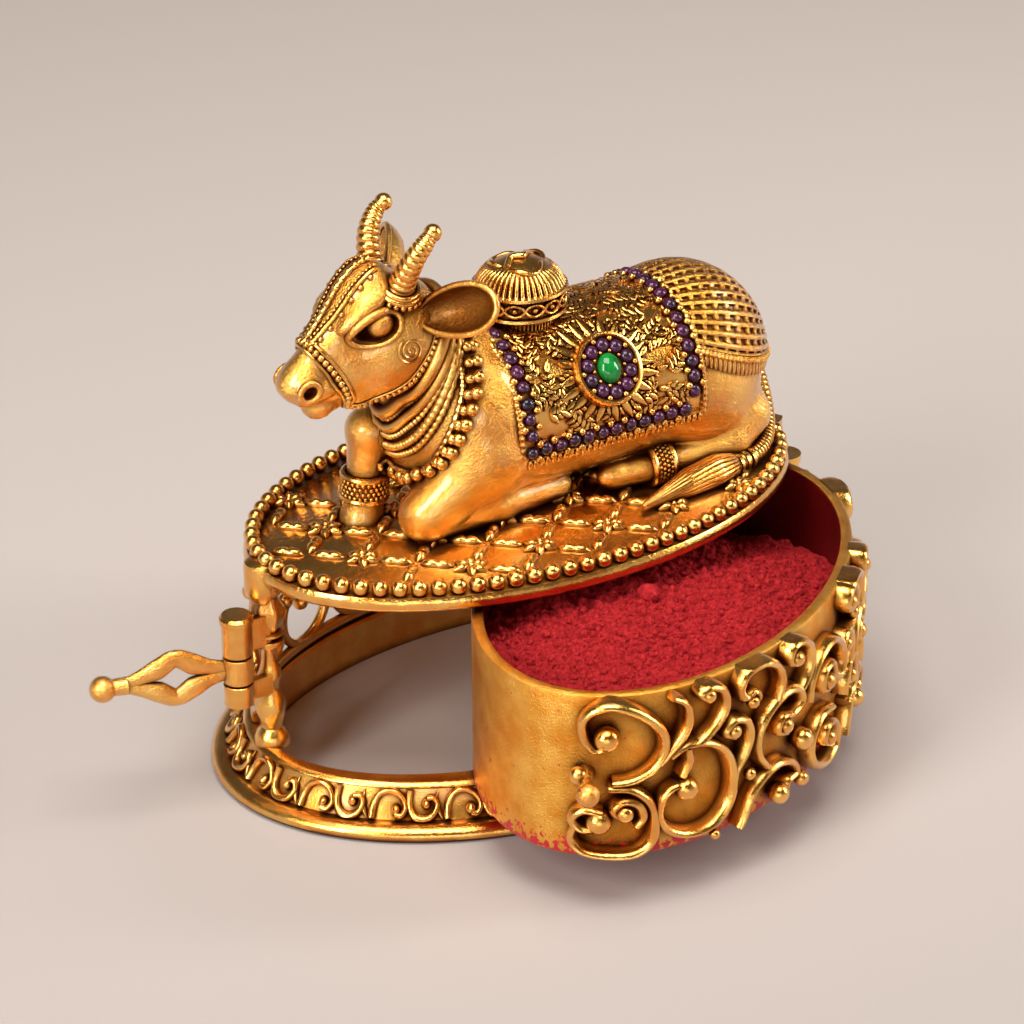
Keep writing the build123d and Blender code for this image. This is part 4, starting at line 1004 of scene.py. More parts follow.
# %% Clay
class Clay:
    def __init__(self, low, high, step):
        self.low = np.asarray(low, float)
        self.step = step
        self.count = np.ceil((np.asarray(high, float) - self.low) / step).astype(int) + 1
        self.far = np.full(self.count, 5.0, np.float32)

    def press(self, shape, low, high, melt, dent=False):
        margin = 2.5
        first = np.floor((np.asarray(low) - margin - self.low) / self.step).astype(int)
        last = np.ceil((np.asarray(high) + margin - self.low) / self.step).astype(int)
        first = np.clip(first, 0, self.count)
        last = np.clip(last, 0, self.count)
        window = tuple(slice(a, b) for a, b in zip(first, last))
        axes = [(self.low[k] + self.step * np.arange(first[k], last[k])).astype(np.float32) for k in range(3)]
        distance = shape(axes[0][:, None, None], axes[1][None, :, None], axes[2][None, None, :])
        old = self.far[window]
        if dent:
            old = -old
        near = np.clip(0.5 + 0.5 * (distance - old) / melt, 0, 1)
        new = distance * (1 - near) + old * near - melt * near * (1 - near)
        self.far[window] = -new if dent else new

    def bar(self, start, end, thick, thin, melt=1.0, dent=False):
        start = np.asarray(start, float)
        end = np.asarray(end, float)
        way = end - start
        length = float(way @ way)

        def shape(x, y, z):
            off = (x - start[0], y - start[1], z - start[2])
            t = np.clip((off[0] * way[0] + off[1] * way[1] + off[2] * way[2]) / length, 0, 1)
            gap = sum((off[k] - t * way[k]) ** 2 for k in range(3))
            return np.sqrt(gap) - (thick + t * (thin - thick))

        wide = max(thick, thin)
        self.press(shape, np.minimum(start, end) - wide, np.maximum(start, end) + wide, melt, dent)

    def egg(self, centre, radii, melt=1.0, axes=None, dent=False):
        centre = np.asarray(centre, float)
        axes = np.eye(3) if axes is None else np.asarray(axes, float)

        def shape(x, y, z):
            local = [(x - centre[0]) * a[0] + (y - centre[1]) * a[1] + (z - centre[2]) * a[2] for a in axes]
            reach = np.sqrt(sum((q / r) ** 2 for q, r in zip(local, radii)))
            slope = np.sqrt(sum((q / r**2) ** 2 for q, r in zip(local, radii)))
            return reach * (reach - 1) / np.maximum(slope, 1e-4)

        self.press(shape, centre - max(radii), centre + max(radii), melt, dent)


print("clay ready")

# %% [markdown]
# The head is described in its own directions: along the nose, to the side, and up from the nose.
# It leans down by about a third of a right angle, so those directions are turned with it. Numbers
# for the head can then be read off a head that looks straight ahead.

# %% Head directions
HEAD_EYE = np.array([-20.0, 0.0, 53.0])
HEAD_TILT = math.radians(33.7)
NOSE_WAY = np.array([-math.cos(HEAD_TILT), 0.0, -math.sin(HEAD_TILT)])
SIDE_WAY = np.array([0.0, 1.0, 0.0])
CROWN_WAY = np.array([-math.sin(HEAD_TILT), 0.0, math.cos(HEAD_TILT)])
HEAD_AXES = np.stack([NOSE_WAY, SIDE_WAY, CROWN_WAY])
EYE_LEAN = math.radians(17)
EYE_AXES = np.stack([NOSE_WAY * math.cos(EYE_LEAN) + CROWN_WAY * math.sin(EYE_LEAN), SIDE_WAY,
                     CROWN_WAY * math.cos(EYE_LEAN) - NOSE_WAY * math.sin(EYE_LEAN)])


def on_head(along, side, up):
    spot = HEAD_EYE + np.multiply.outer(along, NOSE_WAY) + np.multiply.outer(side, SIDE_WAY)
    return spot + np.multiply.outer(up, CROWN_WAY)


print("nose points to", NOSE_WAY.round(2))

# %% [markdown]
# The bull lies with its legs folded, and one foreleg set up in front. Trunk, rump, hump, neck,
# chest and dewlap come first and melt deeply into each other. The legs follow, with a shallow melt,
# so that their creases stay. Box modelling would give the same forms, but joins like that of neck
# and chest come by themselves in clay.

# %% Body of the bull
STEP = 0.2
bull = Clay((-33.0, -12.5, 27.3), (33.0, 12.5, 63.0), STEP)
bull.bar((-7.0, 0, 39.4), (20.0, 0, 39.4), 9.7, 9.7)
bull.egg((21.0, 0, 39.6), (9.3, 9.5, 9.8), 2.0)
bull.egg((-3.5, 0, 44.6), (6.5, 5.6, 5.2), 2.5)
bull.bar((-7.5, 0, 40.5), (-15.6, 0, 53.4), 8.3, 4.3, 2.0)
bull.egg((-10.6, 0, 38.2), (5.2, 6.6, 6.6), 2.0)
bull.bar((-17.6, 0, 46.4), (-13.4, 0, 36.4), 1.5, 2.2, 1.5)
for hand in (-1, 1):
    bull.egg((-8.2, 6.0 * hand, 39.6), (4.6, 3.5, 8.2), 2.5)
    bull.egg((20.6, 5.8 * hand, 36.8), (7.0, 4.3, 5.6), 1.6)
    bull.bar((26.0, 6.6 * hand, 33.4), (23.4, 7.4 * hand, 31.2), 3.0, 2.4, 1.2)
    bull.bar((23.4, 7.4 * hand, 31.2), (17.4, 7.4 * hand, 30.4), 2.4, 1.9, 0.5)
    bull.bar((17.4, 7.4 * hand, 30.4), (10.4, 6.4 * hand, 30.1), 1.9, 1.6, 0.4)
    bull.egg((8.7, 6.0 * hand, 30.0), (2.4, 1.7, 1.75), 0.3)
bull.bar((-8.4, -6.4, 37.4), (-15.4, -5.0, 31.4), 4.3, 3.1, 1.6)
bull.bar((-15.6, -4.7, 31.0), (-6.0, -4.6, 30.0), 2.9, 2.2, 0.5)
bull.bar((-6.0, -4.6, 30.0), (0.4, -4.0, 29.7), 2.2, 1.7, 0.6)
bull.egg((1.8, -3.8, 29.5), (2.2, 1.7, 1.7), 0.3)
bull.bar((-9.0, 4.8, 38.6), (-17.2, 4.2, 38.4), 4.0, 2.6, 1.6)
bull.bar((-17.3, 4.2, 38.2), (-18.1, 3.9, 32.0), 2.5, 2.0, 0.8)
bull.bar((-18.1, 3.9, 32.0), (-18.3, 3.9, 29.6), 2.0, 2.1, 0.8)
bull.bar((-18.4, 3.9, 29.4), (-18.7, 3.9, 27.6), 2.2, 2.7, 0.3)
print("body pressed")

# %% [markdown]
# Skull, cheeks, nose and muzzle melt together. Then the eye hollows, the nostrils and the line of the
# mouth are pressed in. The eyes themselves are balls set in the hollows.

# %% Head of the bull
bull.egg(on_head(-1.6, 0, 0.8), (5.2, 4.0, 4.8), 1.2, HEAD_AXES)
bull.egg(on_head(-3.0, 0, 4.2), (2.8, 3.2, 2.3), 1.0, HEAD_AXES)
bull.bar(on_head(-1.0, 0, 2.6), on_head(4.6, 0, 1.5), 3.5, 2.7, 1.0)
bull.bar(on_head(4.6, 0, 1.5), on_head(9.6, 0, 0.9), 2.5, 2.0, 0.8)
bull.egg(on_head(5.6, 0, -1.2), (4.6, 2.8, 3.2), 1.0, HEAD_AXES)
bull.egg(on_head(8.9, 0, 0.4), (2.4, 2.6, 2.5), 0.8, HEAD_AXES)
bull.egg(on_head(10.7, 0, 1.5), (0.9, 1.5, 0.7), 0.4, HEAD_AXES)
bull.bar(on_head(1.5, 0, -4.4), on_head(8.0, 0, -3.4), 2.6, 1.5, 0.6)
bull.egg(on_head(9.0, 0, -2.9), (2.0, 2.2, 1.5), 0.4, HEAD_AXES)
for hand in (-1, 1):
    bull.egg(on_head(-1.4, 2.6 * hand, -3.4), (5.8, 2.9, 4.9), 0.8, HEAD_AXES)
    bull.egg(on_head(3.2, 1.6 * hand, -1.8), (4.2, 2.4, 4.0), 0.9, HEAD_AXES)
    bull.bar(on_head(0.5, 2.9 * hand, -4.7), on_head(5.4, 1.9 * hand, -4.2), 1.9, 1.3, 0.8)
    bull.egg(on_head(-0.6, 2.8 * hand, 3.7), (3.6, 1.3, 1.1), 0.8, HEAD_AXES)
    bull.egg(on_head(-0.1, 4.8 * hand, 1.65), (2.8, 2.7, 1.6), 0.2, EYE_AXES, dent=True)
    bull.egg(on_head(-0.9, 3.3 * hand, 1.5), (1.6, 1.6, 1.6), 0.1, HEAD_AXES)
    bull.bar(on_head(7.6, 1.9 * hand, -0.7), on_head(10.2, 1.3 * hand, -0.2), 1.2, 1.0, 0.4)
    bull.egg(on_head(9.5, 1.9 * hand, 0.7), (1.5, 0.9, 1.3), 0.4, HEAD_AXES)
    bull.egg(on_head(9.5, 2.9 * hand, 0.7), (0.85, 1.2, 0.75), 0.2, HEAD_AXES, dent=True)
    bull.bar(on_head(6.9, 3.3 * hand, -2.4), on_head(9.2, 2.7 * hand, -1.9), 0.6, 0.6, 0.15, dent=True)
    bull.bar(on_head(9.2, 2.7 * hand, -1.9), on_head(11.1, 1.5 * hand, -1.3), 0.6, 0.55, 0.15, dent=True)
bull.bar(on_head(11.1, -1.5, -1.3), on_head(11.1, 1.5, -1.3), 0.55, 0.55, 0.15, dent=True)
print("head pressed")

# %% [markdown]
# The skin is drawn through the block where the distance changes its sign: each cell that holds such
# a change gets one point, and each grid edge that crosses the surface gets one face between the
# four cells round it. A remesh modifier works in much the same way.

# %% Skin of the clay
def draw_skin(clay):
    inside = clay.far < 0
    corners = [(dx, dy, dz) for dx in (0, 1) for dy in (0, 1) for dz in (0, 1)]
    size = [n - 1 for n in clay.far.shape]
    filled = np.zeros(size, np.int8)
    for dx, dy, dz in corners:
        filled += inside[dx:dx + size[0], dy:dy + size[1], dz:dz + size[2]]
    mixed = (filled > 0) & (filled < 8)
    cells = np.argwhere(mixed)
    number = np.full(size, -1)
    number[mixed] = np.arange(len(cells))
    value = {c: clay.far[cells[:, 0] + c[0], cells[:, 1] + c[1], cells[:, 2] + c[2]] for c in corners}
    total = np.zeros((len(cells), 3))
    hits = np.zeros(len(cells))
    for a in corners:
        for axis in range(3):
            if a[axis]:
                continue
            b = tuple(1 if k == axis else a[k] for k in range(3))
            cross = (value[a] < 0) != (value[b] < 0)
            share = np.where(cross, value[a] / np.where(cross, value[a] - value[b], 1), 0)
            spot = np.array(a, float) + share[:, None] * (np.array(b) - np.array(a))
            total += np.where(cross[:, None], spot, 0)
            hits += cross
    points = clay.low + clay.step * (cells + total / hits[:, None])
    faces = []
    for axis in range(3):
        one, two = [k for k in range(3) if k != axis]
        lower = [slice(1, -1)] * 3
        upper = [slice(1, -1)] * 3
        lower[axis] = slice(0, -1)
        upper[axis] = slice(1, None)
        change = np.argwhere(inside[tuple(lower)] != inside[tuple(upper)])
        change[:, one] += 1
        change[:, two] += 1
        around = []
        for back_one, back_two in ((1, 1), (0, 1), (0, 0), (1, 0)):
            cell = change.copy()
            cell[:, one] -= back_one
            cell[:, two] -= back_two
            around.append(number[cell[:, 0], cell[:, 1], cell[:, 2]])
        faces.append(np.stack(around, -1))
    return points, np.concatenate(faces)


skin_points, skin_faces = draw_skin(bull)
print("skin:", len(skin_points), "points")

# %% [markdown]
# Thick lids ring the eyes and a roll rings each nostril. Each is a loop that is moved sideways
# until it lies on the skin. For that the clay is asked how far any point lies from the surface.

# %% Lids and nostrils
def depth_at(clay, points):
    grid = (np.asarray(points, float) - clay.low) / clay.step
    grid = np.clip(grid, 0, np.asarray(clay.count) - 1.001)
    cell = grid.astype(int)
    part = grid - cell
    total = np.zeros(len(grid))
    for dx in (0, 1):
        for dy in (0, 1):
            for dz in (0, 1):
                share = np.abs(1 - dx - part[:, 0]) * np.abs(1 - dy - part[:, 1])
                share = share * np.abs(1 - dz - part[:, 2])
                total += share * clay.far[cell[:, 0] + dx, cell[:, 1] + dy, cell[:, 2] + dz]
    return total


LID = (2.95, 1.72)
body = Mould()
body.add(skin_points, skin_faces)
lid_turn = np.linspace(0, 2 * np.pi, 48, endpoint=False)
for hand in (-1, 1):
    lid = on_head(-0.1, 6.0 * hand, 1.65) + np.outer(LID[0] * np.cos(lid_turn), EYE_AXES[0])
    lid = lid + np.outer(LID[1] * np.sin(lid_turn), EYE_AXES[2])
    nostril = on_head(9.5 + 1.15 * np.cos(lid_turn), np.full(48, 3.6 * hand), 0.7 + 1.0 * np.sin(lid_turn))
    for _ in range(24):
        lid[:, 1] -= hand * 0.7 * (depth_at(bull, lid) - 0.12)
        nostril[:, 1] -= hand * 0.7 * (depth_at(bull, nostril) - 0.06)
    wire(body, lid, 0.40 + 0.12 * np.sin(lid_turn), closed=True)
    wire(body, nostril, 0.40, closed=True)
cast("bull", body, smooth_gold, "frame", "antique_gold", "bull_body", "bull_head", "foreleg_raised",
     "foreleg_folded", "hind_leg_left", "hind_leg_right")

# %% [markdown]
# The horns curve up out of collars and are ringed all along, with a ball on each tip. Each is one
# bent wire whose thickness waves thirteen times from root to tip. The far horn is the near one,
# mirrored.

# %% Horns
HORN = [(-17.2, 2.7, 57.2), (-17.0, 3.6, 59.2), (-16.4, 4.7, 61.6), (-15.3, 5.2, 63.4), (-14.5, 5.1, 64.2)]
SIDE_NAMES = {-1: "_near", 1: "_far"}
horn_names = {-1: "horn_left", 1: "horn_right"}
for hand in (-1, 1):
    horn = Mould()
    path = smooth_through(np.array(HORN) * (1, hand, 1), 181)
    share = np.linspace(0, 1, 181)
    thick = np.interp(share, [0, 1], [1.60, 0.78])
    thick = thick * (0.93 + 0.13 * np.abs(np.sin(share * np.pi * 13)) ** 0.7)
    wire(horn, path, thick, around=24)
    ball(horn, path[-1] + (0.25, 0, 0.15), 1.0, around=20, tall=13)
    collar_way = path[20] - path[7]
    for at, wide, fine in ((20, 1.95, 0.34), (10, 2.15, 0.40)):
        side, other, _ = frame_of(collar_way)
        turn = np.linspace(0, 2 * np.pi, 36, endpoint=False)
        loop = path[at] + wide * (np.cos(turn)[:, None] * side + np.sin(turn)[:, None] * other)
        wire(horn, loop, fine, closed=True)
    for turn in np.linspace(0, 2 * np.pi, 20, endpoint=False):
        spot = path[3] + 2.45 * (math.cos(turn) * side + math.sin(turn) * other)
        ball(horn, spot, 0.34, around=8, tall=6)
    cast("horn" + SIDE_NAMES[hand], horn, antique_gold, "frame", "antique_gold", horn_names[hand])

# %% [markdown]
# The ears are deep cups with thick rims that stand out to the sides. A cup is a stack of outlines,
# from the hollow out over the rim and back round behind. Each outline is an oval that is a little
# fuller towards the tip.

# %% Ears
ear_names = {-1: "ear_left", 1: "ear_right"}
EAR_BASE = np.array([-15.5, -3.9, 54.5])
EAR_TIP = np.array([-10.7, -11.8, 57.8])
EAR_FACE = np.array([-0.62, -0.42, 0.30])
EAR_CUP = [(0.02, -1.9), (0.35, -1.75), (0.65, -1.3), (0.85, -0.65), (0.93, -0.1), (1.0, 0.1),
           (1.07, -0.1), (1.06, -0.45), (0.95, -1.2), (0.75, -1.95), (0.4, -2.5), (0.02, -2.65)]
for hand in (-1, 1):
    ear = Mould()
    mirror = np.array([1, 1, 1]) if hand < 0 else np.array([1, -1, 1])
    middle = (EAR_BASE + EAR_TIP) / 2 * mirror
    long_way = (EAR_TIP - EAR_BASE) / 2 * mirror
    face = EAR_FACE * mirror
    face = face - long_way * (face @ long_way) / (long_way @ long_way)
    face /= np.linalg.norm(face)
    wide_way = np.cross(face, long_way / np.linalg.norm(long_way)) * 2.6
    turn = np.linspace(0, 2 * np.pi, 48, endpoint=False)
    round_x = np.cos(turn)
    round_y = np.sin(turn) * (1 + 0.18 * np.cos(turn))
    layers = []
    outline = round_x[:, None] * long_way + round_y[:, None] * wide_way
    for reach, depth in EAR_CUP:
        layers.append(middle + reach * outline + face * depth)
    ear.add(np.stack(layers), weave(len(layers), 48, False, True))
    wire(ear, middle + 1.02 * outline, 0.36, closed=True)
    stalk = [EAR_BASE * mirror - face * 1.2, (EAR_BASE + (2.2, 1.6, -0.6)) * mirror - face * 0.8]
    wire(ear, smooth_through(stalk, 8), np.linspace(1.5, 1.7, 8), around=20)
    cast("ear" + SIDE_NAMES[hand], ear, aged_gold, "frame", "antique_gold", ear_names[hand], sharp=60.0)

# %% [markdown]
# On the shoulders sits a lidded pot: a beaded foot, a dark ribbed neck, a rolled rim, a belt of
# relief, a second rim and a fluted dome. It is turned on its axis like a pot on a wheel, and the
# flutes and ribs are waves added to the radius.

# %% Pot on the shoulders
POT_X = -0.2
FLUTES = 44


def pot_ripple(height, turn):
    flutes = 1 - 0.085 * np.abs(np.cos(turn * FLUTES / 2)) ** 5 * ((height > 53.6) & (height < 55.6))
    ribs = 1 - 0.06 * (np.sin(turn * 60) > 0) * ((height > 48.6) & (height < 50.3))
    return flutes * ribs


pot = Mould()
pot_outline = [(4.4, 46.4), (4.4, 48.4), (4.2, 48.6), (4.1, 49.4), (4.2, 50.2), (4.5, 50.4), (5.0, 50.45),
               (5.3, 50.7), (5.2, 51.0), (4.75, 51.1), (4.65, 51.3), (4.7, 52.0), (4.65, 52.9), (5.1, 53.0),
               (5.4, 53.2), (5.3, 53.5), (5.1, 53.62), (4.95, 53.9), (4.5, 54.7), (3.9, 55.35), (3.3, 55.65),
               (2.6, 56.0), (1.6, 56.35), (0.6, 56.55), (0.03, 56.6)]
turned(pot, pot_outline, (POT_X, 0, 0), around=352, ripple=pot_ripple)
crown_turn = np.linspace(0, 2 * np.pi, 120, endpoint=False)
crown_r = 2.75 + 0.45 * np.sin(3 * crown_turn + 0.6)
crown_z = 55.75 + 0.16 * np.sin(5 * crown_turn)
crown = np.stack([POT_X + crown_r * np.cos(crown_turn), crown_r * np.sin(crown_turn), crown_z], -1)
wire(pot, crown, 0.36, around=10, closed=True)
FOLD = [(-2.2, -0.9, 55.9), (-1.0, 0.1, 56.55), (0.1, -0.5, 56.75), (1.0, 0.4, 56.5), (2.0, 0.9, 56.0)]
fold = smooth_through(FOLD, 40)
wire(pot, fold + (POT_X, 0, 0), 0.42, around=10)
print("pot turned:", pot.count, "points")

# %% [markdown]
# Round the belt of the pot run crossing lines with a ball at each crossing, and round its foot a
# ring of small beads. The lines are raised ones, as on the foot of the box, only laid on a circle.

# %% Belt and foot beads of the pot
on_pot = oval_place(4.68, 4.68, 0.0)


def on_belt(along, up, out):
    return on_pot(along, up, out) + (POT_X, 0, 0)


CROSSES = 14
cross_step = on_pot.length / CROSSES
for i in range(CROSSES):
    start = i * cross_step
    for first, last in ((51.35, 52.75), (52.75, 51.35)):
        wave = smooth_through([(start, first),
                               (start + cross_step * 0.35, first * 0.8 + last * 0.2),
                               (start + cross_step * 0.65, first * 0.2 + last * 0.8),
                               (start + cross_step, last)], 12)
        raised_line(pot, wave, 0.40, 0.55, on_belt)
    raised_ball(pot, (start, 52.05), 0.36, 0.55, on_belt)
for turn in np.linspace(0, 2 * np.pi, 44, endpoint=False):
    ball(pot, (POT_X + 5.15 * math.cos(turn), 5.15 * math.sin(turn), 48.75 - 0.9 * abs(math.sin(turn)) ** 2),
         0.42, around=10, tall=7)
cast("pot", pot, antique_gold, "frame", "antique_gold", "hump_ornament")

# %% [markdown]
# The saddle cloth is a thin sheet of metal bent round the trunk. It is worked flat, as a grid of
# heights, and bent at the end. Only one side is worked, and the other is its mirror.

# %% Sheet of the cloth
TRUNK_Z = 39.4
CLOTH_R = 10.3
CLOTH_X = (-6.6, 17.5)
HEM_TURN = math.radians(103)
FINE = 0.09


def on_cloth(x, around, out):
    turn = around / CLOTH_R
    return np.stack([x, -(CLOTH_R + out) * np.sin(turn), TRUNK_Z + (CLOTH_R + out) * np.cos(turn)], -1)


across = np.arange(CLOTH_X[0], CLOTH_X[1] + FINE / 2, FINE)
half_down = np.arange(0, HEM_TURN * CLOTH_R, FINE)
chased = np.full((len(across), len(half_down)), -1.0)
print("cloth:", len(across), "x", len(half_down), "points on each side")

# %% [markdown]
# A chaser drives one leaf after another into the metal. Here a leaf sets the heights within its
# outline and leaves a low line along its edge, so each new leaf cuts a dark line round itself into
# the leaves below. A sprig is a bent row of leaves on both sides.

# %% Chased leaves
LEAF_LINE = 0.80


def chase_leaf(x, s, turn, length, width):
    reach = length + 0.4
    rows = slice(*np.searchsorted(across, (x - reach, x + reach)))
    columns = slice(*np.searchsorted(half_down, (s - reach, s + reach)))
    off_x = across[rows][:, None] - x
    off_s = half_down[columns][None, :] - s
    along = (off_x * math.cos(turn) + off_s * math.sin(turn)) / length
    side = off_s * math.cos(turn) - off_x * math.sin(turn)
    swell = np.sin(np.pi * np.clip(0.04 + 0.92 * along, 0, 1) ** 0.75)
    share = np.abs(side) / np.maximum(0.5 * width * swell, 1e-3)
    on_leaf = (along > 0) & (along < 1) & (share < 1)
    height = np.where(share < LEAF_LINE, 1 - 0.5 * (share / LEAF_LINE) ** 2, -1.0)
    chased[rows, columns] = np.where(on_leaf, height, chased[rows, columns])


def chase_sprig(x, s, turn, steps, bend, size):
    for step in range(steps):
        left = size * (1.0 - 0.06 * step)
        for hand in (-1, 1):
            chase_leaf(x, s, turn + hand * 0.85, 1.55 * left, 0.92 * left)
        x += 0.80 * size * math.cos(turn)
        s += 0.80 * size * math.sin(turn)
        turn += bend
    chase_leaf(x, s, turn, 1.7 * size, 0.9 * size)


print("leaves are lined at", LEAF_LINE, "of their width")

# %% [markdown]
# Sprigs are strewn over the sheet on a loose grid, turned and bent by chance, until hardly any bare
# metal is left. Last comes a wreath of leaves round the place of the medallion.

# %% Foliage
sprigs = np.random.default_rng(21)
SPRIG_STEPS = 5
SPRIG_SIZE = 0.95
for row in np.arange(CLOTH_X[0] + 1.0, CLOTH_X[1], 2.3):
    for column in np.arange(0.6, HEM_TURN * CLOTH_R, 2.3):
        jog = sprigs.uniform(-0.8, 0.8, 2)
        turn = sprigs.uniform(0, 6.28)
        bend = sprigs.uniform(-0.35, 0.35)
        chase_sprig(row + jog[0], column + jog[1], turn, SPRIG_STEPS, bend, SPRIG_SIZE)
MEDAL_X = 5.3
MEDAL_TURN = math.radians(58)
medal_down = MEDAL_TURN * CLOTH_R
for turn in np.arange(0, 2 * np.pi, 2 * np.pi / 20):
    rim_x = MEDAL_X + 3.7 * math.cos(turn)
    rim_s = medal_down + 3.7 * math.sin(turn)
    chase_leaf(rim_x, rim_s, turn + sprigs.uniform(-0.25, 0.25), sprigs.uniform(2.2, 3.4), 1.15)
print("chased:", round(100 * float((chased > 0).mean())), "% leaf")

# %% [markdown]
# The worked side is mirrored. Then the border for the stones is sunk along the edges, its rim is
# raised again, and the seat of the medallion is made flat.

# %% Borders of the cloth
relief = np.concatenate([chased[:, :0:-1], chased], 1)
down = np.concatenate([-half_down[:0:-1], half_down])
sheet_x = across[:, None]
sheet_s = np.abs(down)[None, :]
BORDER = 1.25
EDGES = (CLOTH_X[0] + BORDER, CLOTH_X[1] - BORDER, HEM_TURN * CLOTH_R - BORDER)
in_border = (sheet_x < EDGES[0] + BORDER * 0.75) | (sheet_x > EDGES[1] - BORDER * 0.75) | (
    sheet_s > EDGES[2] - BORDER * 0.75)
relief[in_border & np.ones_like(relief, bool)] = -0.8
near_edge = (sheet_x < CLOTH_X[0] + 0.3) | (sheet_x > CLOTH_X[1] - 0.3) | (sheet_s > HEM_TURN * CLOTH_R - 0.3)
relief[near_edge & np.ones_like(relief, bool)] = 0.4
relief[np.hypot(sheet_x - MEDAL_X, sheet_s - medal_down) < 3.9] = -1.0
print("border is", BORDER, "mm from the edge")

# %% [markdown]
# Now the sheet is bent round the trunk. A narrow skirt closes its rim towards the body, a cord runs
# along the front and the rear edge, and small teeth hang from the hems.

# %% Saddle cloth
cloth = Mould()
grid_x = np.repeat(sheet_x, len(down), 1)
grid_s = np.repeat(down[None, :], len(across), 0)
cloth.add(on_cloth(grid_x, grid_s, 0.15 + 0.20 * relief), weave(len(across), len(down)))
rim = np.concatenate([np.stack([grid_x[0], grid_s[0]], -1), np.stack([grid_x[1:, -1], grid_s[1:, -1]], -1),
                      np.stack([grid_x[-1, -2::-1], grid_s[-1, -2::-1]], -1),
                      np.stack([grid_x[-2:0:-1, 0], grid_s[-2:0:-1, 0]], -1)])
skirt = np.stack([on_cloth(rim[:, 0], rim[:, 1], 0.17), on_cloth(rim[:, 0], rim[:, 1], -0.75)])
cloth.add(skirt, weave(2, len(rim), False, True))
for x in CLOTH_X:
    edge = np.linspace(-HEM_TURN * CLOTH_R, HEM_TURN * CLOTH_R, 200)
    wire(cloth, on_cloth(np.full(200, x), edge, 0.15), 0.33 + 0.07 * np.sin(np.arange(200) * 1.6), around=8)
for hand in (-1, 1):
    for x in np.arange(CLOTH_X[0] + 0.4, CLOTH_X[1] - 0.2, 0.78):
        lean = chance.uniform(-0.12, 0.12)
        tooth = [(x, hand * (HEM_TURN * CLOTH_R - 0.2)), (x + lean, hand * (HEM_TURN * CLOTH_R + 1.15))]
        raised_leaf(cloth, tooth[0], tooth[1], 0.62, 0.45, on_cloth)
cast("saddle_cloth_chased", cloth, chased_gold, "frame", "antique_gold", "saddle_cloth")

# %% [markdown]
# The border stones are small rough beads of dull purple, set close together in the sunk border, with
# a gold grain to each side of every joint between two stones. No two are alike, so each is a ball
# of few faces, stretched and leaned a little by chance.

# %% Border stones
stones = Mould()
grains = Mould()
STONE = 0.80
GRAIN = 0.44


def set_row(spots, side):
    spots = np.asarray(spots, float)
    for x, s in spots:
        lean = chance.uniform(-0.08, 0.08, 3)
        long, wide = chance.uniform(0.86, 1.12, 2)
        ball(stones, on_cloth(x, s, 0.26) + lean, STONE, way=on_cloth(x, s, 1.0) - on_cloth(x, s, 0.0) + lean,
             stretch=(long, wide, chance.uniform(0.62, 0.85)), around=9, tall=7)
    for one, two in zip(spots[:-1], spots[1:]):
        joint = (one + two) / 2
        for hand in (-1, 1):
            spot = joint + hand * 0.90 * np.asarray(side, float)
            size = GRAIN * chance.uniform(0.9, 1.1)
            ball(grains, on_cloth(spot[0], spot[1], 0.32), size, around=10, tall=7)


hem_s = EDGES[2]
for hand in (-1, 1):
    front = [(EDGES[0], hand * s) for s in np.arange(2.9, hem_s - 0.5, 1.77)]
    set_row(front, (1, 0))
    hem = [(x, hand * hem_s) for x in np.arange(EDGES[0], EDGES[1] + 0.2, 1.84)]
    set_row(hem, (0, 1))
rear = [(EDGES[1], s) for s in np.linspace(-hem_s + 1.8, hem_s - 1.8, 19)]
set_row(rear, (1, 0))
cast("border_beads", stones, purple_stone, "frame", "purple_stone", "border_stones", sharp=80.0)
cast("border_grains", grains, antique_gold, "frame", "antique_gold")

# %% [markdown]
# A round medallion is riveted to each flank: a raised ring, ten purple stones with gold grains, and a
# green cabochon standing upright in the middle. The ring is turned, and the gem is half an egg.

